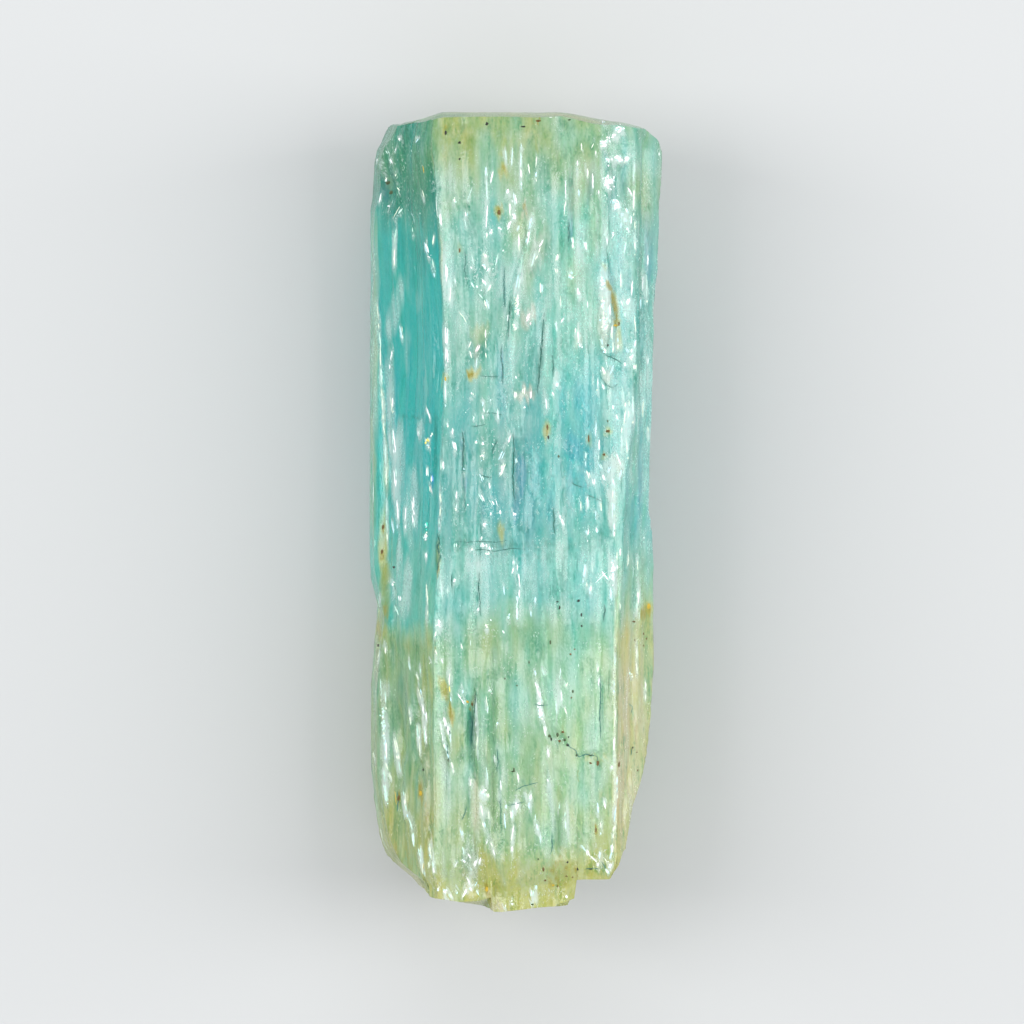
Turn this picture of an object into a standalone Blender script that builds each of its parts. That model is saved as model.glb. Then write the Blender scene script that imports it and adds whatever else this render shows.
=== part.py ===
"""A rough aquamarine crystal: a six-sided beryl prism with one etched end and one broken end.

Run with: blender --background --python part.py

Metres, +Z up. The crystal lies on the prism face at its back, with its long axis along Y. The etched end
is at +Y, the broken end is at -Y, and +Z is the side that is seen from above.
Sizes below are in millimetres. MM turns them into metres where the mesh is made.
"""
import math
import random

import bmesh
import bpy
from mathutils import Matrix, Vector, noise
from mathutils.geometry import delaunay_2d_cdt

MM = 0.001
NODE_NAME = "aquamarine_crystal"

# Size of the whole crystal
LENGTH = 42.0
THICKNESS = 12.6

# Where the long edges of the prism run. Each is a list of (y, x), from the etched end to the broken end
LEFT_OUTLINE = (
    (20.3, -6.85), (19.6, -7.15), (19.0, -7.47), (16.3, -7.62), (15.6, -7.74), (12.0, -7.68), (10.9, -7.74),
    (-3.2, -7.74), (-4.2, -7.58), (-4.9, -7.36), (-5.4, -7.36), (-6.2, -7.47), (-9.6, -7.72), (-13.8, -7.70),
    (-15.4, -7.52), (-17.5, -7.20), (-18.6, -6.73), (-19.1, -6.20), (-19.6, -5.65),
)
RIGHT_OUTLINE = (
    (20.3, 6.75), (19.8, 7.12), (19.4, 7.62), (18.9, 7.74), (16.8, 7.70), (16.2, 7.56), (13.0, 7.50),
    (10.9, 7.31), (4.5, 7.13), (0.2, 7.00), (-0.8, 7.03), (-1.5, 7.30), (-8.5, 7.31), (-12.3, 7.04),
    (-14.3, 6.57), (-15.4, 6.20), (-17.5, 5.80), (-19.6, 5.65),
)
FRONT_LEFT_EDGE = ((21.0, -4.45), (18.5, -4.30), (13.5, -3.93), (8.5, -3.67), (-2.1, -3.98), (-5.8, -4.30))
FRONT_RIGHT_EDGE = ((13.5, 4.46), (1.0, 5.04), (-2.1, 5.20), (-6.8, 5.10))
BEVEL_EDGE = ((13.5, 6.25), (6.0, 6.25), (3.0, 5.85), (-4.0, 5.55), (-6.8, 5.36))
BACK_LEFT_EDGE_X = -5.25
RIGHT_CORNER_X = 7.15
RIGHT_EDGE_WEAR = 0.14

# Silhouettes of the two ends: (x, y), from left to right
ETCHED_END = (
    (-6.90, 20.42), (-5.60, 20.55), (-4.93, 20.66), (-4.00, 21.00), (2.35, 21.00), (3.30, 20.86),
    (4.46, 20.62), (5.95, 20.42), (6.60, 20.20),
)
BROKEN_END = (
    (-6.30, -19.25), (-5.30, -19.85), (-4.20, -20.35), (-3.40, -20.48), (-2.60, -20.60), (-0.98, -21.00),
    (3.30, -20.60), (4.88, -20.30), (5.60, -19.90),
)
ETCHED_RIM_Y = 20.2
BROKEN_RIM_Y = -19.6

# The two end faces: where each is highest, as (x, z), and how it falls away from that line
ETCHED_CREST = ((-7.0, 5.6), (-4.4, 8.6))
ETCHED_SAG = 0.030
BREAK_CREST = ((-6.4, 3.6), (-5.4, 4.8), (-4.2, 9.4), (3.2, 9.4), (5.8, 7.2))
BREAK_LEAN = 0.20
END_RIPPLE = 0.13
END_RIPPLE_SIZE = 2.6
END_MESH_SIZE = 1.0
END_RIM_GAP = 0.55
END_BOW = 0.002

# The faces of the prism, in order round it: the angle of the outward normal from +X towards +Z, the
# number of strips that the face is divided into, how far its etched rim is worn back, and over what length
FACES = {
    "front": (90.0, 30, 1.30, 3.6),
    "bevel": (60.0, 4, 0.80, 2.8),
    "right_front": (30.0, 8, 0.50, 2.2),
    "right_break": (-12.0, 5, 0.0, 1.0),
    "right_back": (-30.0, 11, 0.60, 1.8),
    "back": (-90.0, 5, 0.0, 1.0),
    "left_back": (-150.0, 10, 0.50, 1.6),
    "left_facet": (-186.0, 6, 0.0, 1.0),
    "left_front": (-210.0, 17, 0.90, 2.6),
}
FACE_NAMES = tuple(FACES)
BROKEN_RIM_WEAR = 0.35
BROKEN_RIM_LENGTH = 1.2
ROWS = 40
ROW_CROWDING = 0.45

# Growth terraces: shallow steps that run along the prism faces, and a slow swell under them. Relief is
# weaker at the edges between faces, and dies out at the outline, which stays as it was measured
TERRACE_SEED = 11
TERRACES = {"front": 28, "right_front": 8, "right_back": 12, "left_back": 11, "left_front": 16}
TERRACE_DEPTH = (0.05, 0.17)
TERRACE_LENGTH = (4.0, 19.0)
TERRACE_END = 0.6
WAVE_DEPTH = 0.06
WAVE_SIZE = (3.2, 9.0)
EDGE_KEEP = 0.55
EDGE_BLEND = 0.8
OUTLINE_BLEND = 0.5

# Grooves on the side that is seen: depth, half width, then the line that it follows as (x, y) points
GROOVE_FADE = 0.8
GROOVES = (
    (0.22, 0.40, ((0.75, 15.8), (-0.45, 9.1), (-0.75, 5.0))),
    (0.16, 0.35, ((1.50, 10.5), (1.10, 6.2))),
    (0.24, 0.42, ((-2.60, 4.3), (-2.45, 0.2))),
    (0.20, 0.45, ((-0.05, 4.5), (0.05, -0.4))),
    (0.30, 0.42, ((-2.15, -9.3), (-2.25, -13.8))),
    (0.26, 0.40, ((-3.95, -8.6), (-3.50, -11.8))),
    (0.22, 0.36, ((1.40, -9.0), (2.00, -13.0), (2.30, -17.8))),
    (0.30, 0.30, ((-5.35, -9.0), (-5.45, -13.5))),
    (0.26, 0.28, ((-6.35, -10.5), (-6.15, -16.0))),
    (0.24, 0.30, ((-4.75, -13.0), (-4.55, -18.6))),
)

# Hollows on the side that is seen: depth, centre x and y, half width, half length
HOLLOW_RIM = 1.3
HOLLOWS = (
    (0.35, -6.90, 16.9, 0.55, 1.1),
    (0.22, 5.70, 17.0, 0.60, 1.5),
    (0.18, 5.70, 9.6, 0.70, 2.2),
    (0.20, 0.35, 1.6, 0.80, 2.4),
    (0.14, -2.80, 14.2, 0.60, 1.2),
    (0.30, -1.90, -18.9, 0.80, 1.2),
)

# A shallow band across the crystal, and a low step below it where the colour changes
BAND_Y = -1.75
BAND_DEPTH = 0.10
BAND_HALF_LENGTH = 0.55
BAND_SLANT = 0.06
SEAM_Y = -6.35
SEAM_STEP = 0.09
SEAM_LENGTH = 0.9
SEAM_SLANT = -0.03

# Pieces broken off the ends: corner x, y, z, then how far the break reaches, then its turn in degrees.
# The broken faces are uneven by CHIP_ROUGHNESS, at the scale of CHIP_GRAIN
CHIPS = {
    "right_corner": ((3.36, -19.38, 13.6), (7.0, -5.0, -20.0), (3.0, 9.0, 2.0)),
    "right_shoulder": ((5.86, -17.82, 13.6), (4.0, -6.0, -20.0), (0.0, 5.0, -30.0)),
    "notch": ((-2.62, -20.12, 13.6), (1.60, -3.0, -7.5), (-12.0, 9.0, 6.0)),
    "tongue_step": ((-1.60, -20.36, 10.6), (9.0, -4.0, -15.0), (9.0, -17.0, 4.0)),
    "back_corner": ((0.60, -19.30, 8.2), (14.0, -6.0, -14.0), (17.0, -27.0, 7.0)),
    "back_splinter": ((-3.00, -18.55, 3.6), (12.0, -6.0, -9.0), (13.0, 16.0, -9.0)),
    "left_back_step": ((-2.60, -18.90, 5.9), (-12.0, -6.0, -14.0), (12.0, -22.0, -4.0)),
    "left_ledge": ((-5.80, 20.42, 13.4), (-4.0, 3.0, -8.0), (0.0, 0.0, 1.0)),
    "right_ledge": ((4.30, 20.30, 8.4), (6.0, 3.0, -4.2), (0.0, 9.0, -5.0)),
    "back_rim": ((-5.5, 20.15, 4.6), (8.0, 3.0, -7.0), (-12.0, 6.0, -4.0)),
}
CHIP_CUTS = 4
CHIP_ROUGHNESS = 0.30
CHIP_GRAIN = 2.1

# Colour and finish, as far as one plain material can show them
SKIN_COLOUR = (0.30, 0.66, 0.60, 1.0)
SKIN_ROUGHNESS = 0.22
CLEARNESS = 0.45
BERYL_IOR = 1.577
SHARP_ANGLE = 14.0


def along(stations, position):
    """Read a list of (position, value) stations, which may run up or down, at one position."""
    ordered = sorted(stations)
    if position <= ordered[0][0]:
        return ordered[0][1]
    for (low, low_value), (high, high_value) in zip(ordered, ordered[1:]):
        if position <= high:
            share = (position - low) / (high - low)
            return low_value + share * (high_value - low_value)
    return ordered[-1][1]


def smooth_step(share):
    """Ease from 0 to 1."""
    share = min(max(share, 0.0), 1.0)
    return share * share * (3.0 - 2.0 * share)


def bump(distance, half_width):
    """A rounded hump: 1 in the middle, 0 at half_width and beyond."""
    return smooth_step(1.0 - abs(distance) / half_width)


def rim_wear(face, y):
    """How far a face is rounded off towards its two ends."""
    _, _, wear, length = FACES[face]
    if wear == 0.0:
        return 0.0
    etched = max(0.0, 1.0 - (LENGTH / 2 - y) / length)
    broken = max(0.0, 1.0 - (y - BROKEN_RIM_Y) / BROKEN_RIM_LENGTH)
    return wear * (1.0 - math.sqrt(1.0 - min(etched, 1.0) ** 2)) + BROKEN_RIM_WEAR * min(broken, 1.0) ** 2


def face_normal(face):
    """Outward normal of a face, as an (x, z) vector."""
    angle = math.radians(FACES[face][0])
    return Vector((math.cos(angle), math.sin(angle)))


def slide(point, face, x):
    """Follow a face's line from a point on it to where it reaches x."""
    normal = face_normal(face)
    return Vector((x, point.y - (x - point.x) * normal.x / normal.y))


def face_points(y):
    """One point on each face's line in the section at y, as (x, z) vectors."""
    worn = {face: face_normal(face) * -rim_wear(face, y) for face in FACE_NAMES}
    front_left = Vector((along(FRONT_LEFT_EDGE, y), THICKNESS))
    front_right = Vector((along(FRONT_RIGHT_EDGE, y), THICKNESS))
    bevel_right = slide(front_right, "bevel", along(BEVEL_EDGE, y))
    right_outline = along(RIGHT_OUTLINE, y)
    right_front = bevel_right + worn["right_front"]
    right_corner = slide(right_front, "right_front", max(RIGHT_CORNER_X, right_outline + RIGHT_EDGE_WEAR))
    left_back = Vector((BACK_LEFT_EDGE_X, 0.0)) + worn["left_back"]
    return {
        "front": front_left + worn["front"],
        "bevel": front_right + worn["bevel"],
        "right_front": right_front,
        "right_break": slide(right_front, "right_front", right_outline),
        "right_back": right_corner + worn["right_back"],
        "back": Vector((0.0, 0.0)),
        "left_back": left_back,
        "left_facet": slide(left_back, "left_back", along(LEFT_OUTLINE, y)),
        "left_front": front_left + worn["left_front"],
    }


def crossing(p, n, q, m):
    """The point where two lines meet: one through p with the normal n, one through q with the normal m."""
    det = n.x * m.y - n.y * m.x
    a, b = n.dot(p), m.dot(q)
    return Vector(((a * m.y - b * n.y) / det, (b * n.x - a * m.x) / det))


def section_corners(y):
    """The corners of the plain section at y, one at the start of each face."""
    points = face_points(y)
    corners = []
    for index, face in enumerate(FACE_NAMES):
        before = FACE_NAMES[index - 1]
        corners.append(crossing(points[before], face_normal(before), points[face], face_normal(face)))
    return corners


def grooves_at(x, y):
    """Depth of the named grooves, hollows and cross bands at a point of the seen side."""
    depth = 0.0
    for groove_depth, half_width, line in GROOVES:
        top, bottom = line[0][1], line[-1][1]
        inside = smooth_step((top - y) / GROOVE_FADE + 0.5) * smooth_step((y - bottom) / GROOVE_FADE + 0.5)
        middle = along([(point_y, point_x) for point_x, point_y in line], y)
        depth += groove_depth * inside * bump(x - middle, half_width)
    for hollow_depth, centre_x, centre_y, half_width, half_length in HOLLOWS:
        away = math.hypot((x - centre_x) / half_width, (y - centre_y) / half_length)
        depth += hollow_depth * smooth_step(HOLLOW_RIM - away)
    depth += BAND_DEPTH * bump(y - BAND_Y - BAND_SLANT * x, BAND_HALF_LENGTH)
    return depth + SEAM_STEP * smooth_step((SEAM_Y - SEAM_SLANT * x - y) / SEAM_LENGTH)


def grow_terraces():
    """Draw the terraces of each face: first and last strip, lower and upper end, depth."""
    rng = random.Random(TERRACE_SEED)
    terraces = {}
    for face, count in TERRACES.items():
        strips = FACES[face][1]
        terraces[face] = []
        for _ in range(count):
            first = rng.randint(0, strips - 2)
            last = min(strips, first + rng.randint(1, 4))
            middle = rng.uniform(-19.0, 19.0)
            half = rng.uniform(*TERRACE_LENGTH) / 2
            terraces[face].append((first, last, middle - half, middle + half, rng.uniform(*TERRACE_DEPTH)))
    return terraces


def terraces_at(terraces, strip, y):
    """Depth of the terraces of one face on the line at the start of a strip."""
    depth = 0.0
    for first, last, low, high, step in terraces:
        if first < strip <= last:
            depth += step * smooth_step((y - low) / TERRACE_END) * smooth_step((high - y) / TERRACE_END)
    return depth


def skin_point(face_index, strip, y, terraces):
    """The point of the crystal's skin on one strip's line at y, as an (x, z) vector."""
    face = FACE_NAMES[face_index]
    strips = FACES[face][1]
    corners = section_corners(y)
    start = corners[face_index]
    end = corners[(face_index + 1) % len(corners)]
    point = start.lerp(end, strip / strips)
    if face == "back" or (face == "left_back" and strip == 0):
        return Vector((point.x, 0.0))
    normal = face_normal(face)
    depth = terraces_at(terraces.get(face, ()), strip, y)
    wave = noise.noise(Vector((strip / WAVE_SIZE[0], y / WAVE_SIZE[1], 7.0 * face_index)))
    depth += WAVE_DEPTH * max(0.0, wave + 0.5)
    if normal.y > 0.0:
        depth += grooves_at(point.x, y)
    to_corner = min(strip, strips - strip) * (end - start).length / strips
    depth *= EDGE_KEEP + (1.0 - EDGE_KEEP) * smooth_step(to_corner / EDGE_BLEND)
    to_outline = min(point.x - along(LEFT_OUTLINE, y), along(RIGHT_OUTLINE, y) - point.x)
    return point - normal * depth * smooth_step(to_outline / OUTLINE_BLEND)


def etched_end(point):
    """Height of the etched end face over a point (x, z) of the section."""
    away = point.y - along(ETCHED_CREST, point.x)
    ripple = noise.noise(Vector((point.x, point.y, 3.0)) / END_RIPPLE_SIZE)
    return along(ETCHED_END, point.x) - ETCHED_SAG * away * away - END_RIPPLE * abs(ripple)


def broken_end(point):
    """Height of the broken end face over a point (x, z) of the section."""
    behind = max(0.0, along(BREAK_CREST, point.x) - point.y)
    ripple = noise.noise(Vector((point.x, point.y, 9.0)) / END_RIPPLE_SIZE)
    return along(BROKEN_END, point.x) + BREAK_LEAN * behind + 2.0 * END_RIPPLE * abs(ripple)


def add_end_face(bm, rim, height):
    """Close one end: a triangle mesh inside the rim that follows the height of the end face."""
    points = [Vector((vert.co.x, vert.co.z)) / MM for vert in rim]
    low = Vector((min(p.x for p in points), min(p.y for p in points)))
    high = Vector((max(p.x for p in points), max(p.y for p in points)))
    row_height = END_MESH_SIZE * math.sqrt(0.75)
    for row in range(int((high.y - low.y) / row_height) + 1):
        for column in range(int((high.x - low.x) / END_MESH_SIZE) + 1):
            point = low + Vector(((column + 0.5 * (row % 2)) * END_MESH_SIZE, row * row_height))
            if min((point - edge).length for edge in points[:len(rim)]) > END_RIM_GAP:
                points.append(point)
    # A straight side of the rim is bowed outwards a little, so that no triangle along it is flat
    bowed = [Vector((p.x, p.y + END_BOW * (p.x * p.x + p.y * p.y))) for p in points]
    ring = [(index, (index + 1) % len(rim)) for index in range(len(rim))]
    _, _, faces, sources, _, _ = delaunay_2d_cdt(bowed, ring, [], 1, 1e-6)
    verts = dict(enumerate(rim))
    for face in faces:
        corners = [sources[index][0] for index in face]
        for corner in corners:
            if corner not in verts:
                point = points[corner]
                verts[corner] = bm.verts.new(Vector((point.x, height(point), point.y)) * MM)
        bm.faces.new([verts[corner] for corner in corners])


def crystal_mesh():
    """The whole crystal before its ends are chipped."""
    terraces = grow_terraces()
    strips = [(index, strip) for index, face in enumerate(FACE_NAMES) for strip in range(FACES[face][1])]
    broken_rim = [skin_point(index, strip, BROKEN_RIM_Y, terraces) for index, strip in strips]
    etched_rim = [skin_point(index, strip, ETCHED_RIM_Y, terraces) for index, strip in strips]
    bm = bmesh.new()
    rings = []
    for row in range(ROWS + 1):
        share = row / ROWS
        share -= ROW_CROWDING * math.sin(2 * math.pi * share) / (2 * math.pi)
        ring = []
        for (index, strip), low, high in zip(strips, broken_rim, etched_rim):
            bottom, top = broken_end(low), etched_end(high)
            y = bottom + (top - bottom) * share
            if row == 0:
                point = low
            elif row == ROWS:
                point = high
            else:
                point = skin_point(index, strip, y, terraces)
            ring.append(bm.verts.new(Vector((point.x, y, point.y)) * MM))
        rings.append(ring)
    for lower, upper in zip(rings, rings[1:]):
        for column in range(len(lower)):
            after = (column + 1) % len(lower)
            bm.faces.new((lower[column], lower[after], upper[after], upper[column]))
    add_end_face(bm, rings[0], broken_end)
    add_end_face(bm, rings[-1], etched_end)
    bmesh.ops.triangulate(bm, faces=bm.faces[:])
    bmesh.ops.recalc_face_normals(bm, faces=bm.faces[:])
    mesh = bpy.data.meshes.new(NODE_NAME)
    bm.to_mesh(mesh)
    bm.free()
    return mesh


def add_chip(crystal, name, corner, reach, turn):
    """Break one piece off an end with a turned, uneven box that starts at the corner."""
    bm = bmesh.new()
    bmesh.ops.create_cube(bm, size=1.0)
    bmesh.ops.subdivide_edges(bm, edges=bm.edges[:], cuts=CHIP_CUTS, use_grid_fill=True)
    spin = Matrix.Rotation(math.radians(turn[2]), 4, "Z")
    spin = spin @ Matrix.Rotation(math.radians(turn[1]), 4, "Y")
    spin = spin @ Matrix.Rotation(math.radians(turn[0]), 4, "X")
    box = Matrix.Diagonal(Vector([abs(side) for side in reach] + [1.0]))
    shift = Matrix.Translation(Vector(reach) / 2)
    place = Matrix.Translation(Vector(corner)) @ spin @ shift @ box
    bmesh.ops.transform(bm, matrix=place, verts=bm.verts[:])
    for vert in bm.verts:
        vert.co = (vert.co + CHIP_ROUGHNESS * noise.noise_vector(vert.co / CHIP_GRAIN)) * MM
    bmesh.ops.triangulate(bm, faces=bm.faces[:])
    mesh = bpy.data.meshes.new("chip_" + name)
    bm.to_mesh(mesh)
    bm.free()
    cutter = bpy.data.objects.new("chip_" + name, mesh)
    cutter.hide_render = True
    cutter.display_type = "WIRE"
    bpy.context.collection.objects.link(cutter)
    cut = crystal.modifiers.new("chip_" + name, "BOOLEAN")
    cut.operation = "DIFFERENCE"
    cut.solver = "EXACT"
    cut.object = cutter


def aquamarine_material():
    """Pale blue-green beryl."""
    material = bpy.data.materials.new("aquamarine")
    material.use_nodes = True
    shader = material.node_tree.nodes["Principled BSDF"]
    shader.inputs["Base Color"].default_value = SKIN_COLOUR
    shader.inputs["Metallic"].default_value = 0.0
    shader.inputs["Roughness"].default_value = SKIN_ROUGHNESS
    shader.inputs["IOR"].default_value = BERYL_IOR
    shader.inputs["Transmission Weight"].default_value = CLEARNESS
    material.diffuse_color = SKIN_COLOUR
    return material


def main():
    for thing in list(bpy.data.objects):
        bpy.data.objects.remove(thing, do_unlink=True)
    mesh = crystal_mesh()
    mesh.shade_smooth()
    mesh.set_sharp_from_angle(angle=math.radians(SHARP_ANGLE))
    mesh.materials.append(aquamarine_material())
    crystal = bpy.data.objects.new(NODE_NAME, mesh)
    bpy.context.collection.objects.link(crystal)
    for name, (corner, reach, turn) in CHIPS.items():
        add_chip(crystal, name, corner, reach, turn)


main()
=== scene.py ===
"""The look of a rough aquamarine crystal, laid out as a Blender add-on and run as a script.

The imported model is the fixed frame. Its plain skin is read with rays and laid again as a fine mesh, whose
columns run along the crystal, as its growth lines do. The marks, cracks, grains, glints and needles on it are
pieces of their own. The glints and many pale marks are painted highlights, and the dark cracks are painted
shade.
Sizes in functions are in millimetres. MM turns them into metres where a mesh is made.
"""

import math

import bpy
import bmesh
import numpy as np
from bpy.props import FloatProperty, FloatVectorProperty, IntProperty, PointerProperty
from mathutils import Matrix, Vector
from mathutils.bvhtree import BVHTree


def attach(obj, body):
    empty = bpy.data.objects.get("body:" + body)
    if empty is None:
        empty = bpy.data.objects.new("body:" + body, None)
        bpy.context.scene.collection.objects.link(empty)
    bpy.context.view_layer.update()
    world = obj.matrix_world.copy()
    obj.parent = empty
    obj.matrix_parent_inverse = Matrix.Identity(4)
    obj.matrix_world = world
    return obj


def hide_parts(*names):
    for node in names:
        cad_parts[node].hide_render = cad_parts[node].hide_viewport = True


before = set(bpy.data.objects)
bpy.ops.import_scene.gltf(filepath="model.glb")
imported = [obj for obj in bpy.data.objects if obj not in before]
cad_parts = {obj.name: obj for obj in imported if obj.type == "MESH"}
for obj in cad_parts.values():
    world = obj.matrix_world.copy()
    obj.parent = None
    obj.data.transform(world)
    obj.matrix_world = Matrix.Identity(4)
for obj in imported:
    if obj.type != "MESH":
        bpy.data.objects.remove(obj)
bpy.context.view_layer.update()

bl_info = {
    "name": "Rough aquamarine crystal",
    "version": (1, 0, 0),
    "blender": (4, 5, 0),
    "location": "3D View > Sidebar > Crystal",
    "description": "Builds the skin, the marks, the grains and the stage of a rough aquamarine crystal",
    "category": "Object",
}

MM = 0.001
NODE = "aquamarine_crystal"
BODY = "root"

# The photograph's frame: millimetres for each pixel, and the pixel over the crystal's axis
PHOTO_SCALE = 0.05276
PHOTO_AXIS_COLUMN = 515.5
PHOTO_AXIS_ROW = 511.0
PHOTO_SIZE = 1024

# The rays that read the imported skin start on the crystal's axis, or fan out from the ends of its core
AXIS_Z = 6.3
CORE_HALF = 15.0
MERGE_DISTANCE = 0.0005
ANGLE_STEPS = 2401
SEEN_TURN = 0.05
FAN_START = math.radians(18.0)
FAN_STEPS = 100
RING_SPREAD = 1.15

# A side turns over onto the end where its normal leans this far along the crystal
RIM_TURN = 0.55
RIM_STEPS = 12

# The named relief fades out before the ends, and all relief fades out above the face that it rests on
RELIEF_END = 20.6
RELIEF_FADE = 1.5
REST_CLEAR = 0.02
REST_FADE = 0.5
STEEPEST = 0.5
SHARP_ANGLE = math.radians(40.0)
FOLD_HEIGHT = 0.035

# Growth lines: width and run in millimetres, sharpness of their sides, share of the depth, seed
GROWTH_LINES = ((0.95, 15.0, 4.0, 0.50, 1), (0.42, 9.0, 3.5, 0.30, 2), (0.19, 5.0, 2.0, 0.20, 3))

# Etch pits: half width, length over width, place along the crystal and depth
PIT_HALF_WIDTH = (0.08, 0.28)
PIT_STRETCH = (1.5, 6.0)
PIT_REACH = 20.5
PIT_DEPTH = (0.4, 1.0)


def display(red, green, blue):
    """A colour given in screen values, from 0 to 255, as the light values that Blender works with."""
    shares = [value / 255.0 for value in (red, green, blue)]
    return tuple(s / 12.92 if s <= 0.04045 else ((s + 0.055) / 1.055) ** 2.4 for s in shares)


def length(name, description, default):
    """A property for a length in metres."""
    return FloatProperty(name=name, description=description, default=default, unit="LENGTH", precision=6)


def colour(name, description, default):
    """A property for a colour."""
    return FloatVectorProperty(
        name=name, description=description, default=default, subtype="COLOR", size=3, min=0.0, max=1.0
    )


class SkinSettings(bpy.types.PropertyGroup):
    """Sizes of the crystal's skin."""

    seen_spacing: length("Seen spacing", "Distance between columns on the side that is seen", 0.085 * MM)
    hidden_spacing: length("Hidden spacing", "Distance between columns on the other sides", 0.28 * MM)
    rows: IntProperty(name="Rows", description="Rows of the mesh along the crystal", default=254)
    cap_rings: IntProperty(name="End rings", description="Rings of the mesh on each end", default=15)
    stria_depth: length("Growth line depth", "Depth of the widest growth lines", 0.050 * MM)
    pit_depth: length("Pit depth", "Depth of the etch pits", 0.070 * MM)
    pits: IntProperty(name="Pits", description="Etch pits on the whole skin", default=420)
    seed: IntProperty(name="Seed", description="Seed of the growth lines and pits", default=5)


class ColourSettings(bpy.types.PropertyGroup):
    """Colours and clearness of the crystal."""

    aqua: colour("Aqua", "The crystal's main colour", display(122, 216, 198))
    teal: colour("Teal", "Where the crystal is deep and clear", display(0, 192, 178))
    blue: colour("Blue", "The bluest bands", display(0, 164, 194))
    straw: colour("Straw", "Yellow-green towards the ends", display(208, 200, 100))
    rose: colour("Rose", "Pinkish patches", display(232, 204, 172))
    # Milk is the white of milky healed cracks and frosted skin, and also of the painted highlights and glints
    milk_and_highlight: colour("Milk", "Healed cracks and frosted skin", display(238, 252, 246))
    rust: colour("Rust", "Iron stains", display(168, 150, 0))
    # Shade darkens the crystal's random dark streaks, and is the painted shade in grooves, beside steps and
    # along cracks
    shade: colour("Shade", "What dark streaks are multiplied by", display(96, 194, 182))
    clearness: FloatProperty(name="Clearness", description="Share of light that goes in", default=0.50)
    ior: FloatProperty(name="IOR", description="Index of refraction of beryl", default=1.577)
    sheen: FloatProperty(name="Sheen", description="Half is the sheen of polished beryl", default=0.25)
    absorption: FloatProperty(name="Absorption", description="Density of the body colour", default=14.0)


class DetailSettings(bpy.types.PropertyGroup):
    """How many flakes lie on the skin and just under it, how wide they are, and the seed of all marks."""

    glint_density: FloatProperty(name="Glint density", description="Per square metre", default=0.6e6)
    glint_width: length("Glint width", "Half width of a glint", 0.040 * MM)
    needle_density: FloatProperty(name="Needle density", description="Per square metre", default=0.3e6)
    needle_width: length("Needle width", "Half width of a needle", 0.026 * MM)
    seed: IntProperty(name="Seed", description="Seed of the marks, glints and needles", default=11)


class StageSettings(bpy.types.PropertyGroup):
    """Floor, lights and camera."""

    floor_size: length("Floor size", "Side of the floor", 3.0)
    floor_gap: length("Floor gap", "Air between the floor and the crystal", 0.03 * MM)
    floor_colour: colour("Floor colour", "Colour of the floor", (0.48, 0.48, 0.475))
    lens: FloatProperty(name="Lens", description="Focal length in millimetres", default=400.0)
    key_power: FloatProperty(name="Key power", description="Watts of each side light", default=1.0)
    sky: FloatProperty(name="Sky", description="Strength of the light from all round", default=0.95)


# Where the front face meets its neighbours: photo row, then photo column
LEFT_EDGE = ((161, 434), (255, 441), (326, 444), (397, 446), (421, 442), (551, 440), (621, 434), (900, 432))
RIGHT_EDGE = ((150, 600), (255, 600), (491, 611), (551, 615), (640, 613), (850, 613))

# How wide those edges are, in pixels, and how much wider where they are worn and on the ends
EDGE_BLEND = 4.0
WORN_BLEND = 24.0
END_BLEND = 60.0
# The left edge is worn below the first row and above the second. The wear sets in over so many rows
WORN_BELOW = (630.0, 40.0)
WORN_ABOVE = (172.0, 22.0)

# The photograph shows what lies above these heights, in millimetres: from not at all to fully
SEEN_HEIGHT = (3.4, 5.2)

# The zones' borders wander by so many rows, in clouds of these sizes, and slant on the left face
WAVE_ROWS = 16.0
WAVES = (((3.2, 3.2, 3.2), 1.2), ((0.8, 2.6, 0.8), 0.9))
WAVE_SEED = 71
LEFT_SLANT = 0.3
LEFT_MIDDLE = 410.0

# On the ends, this share is taken off the fineness of the clouds across the crystal
END_CALM = 0.8

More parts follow.
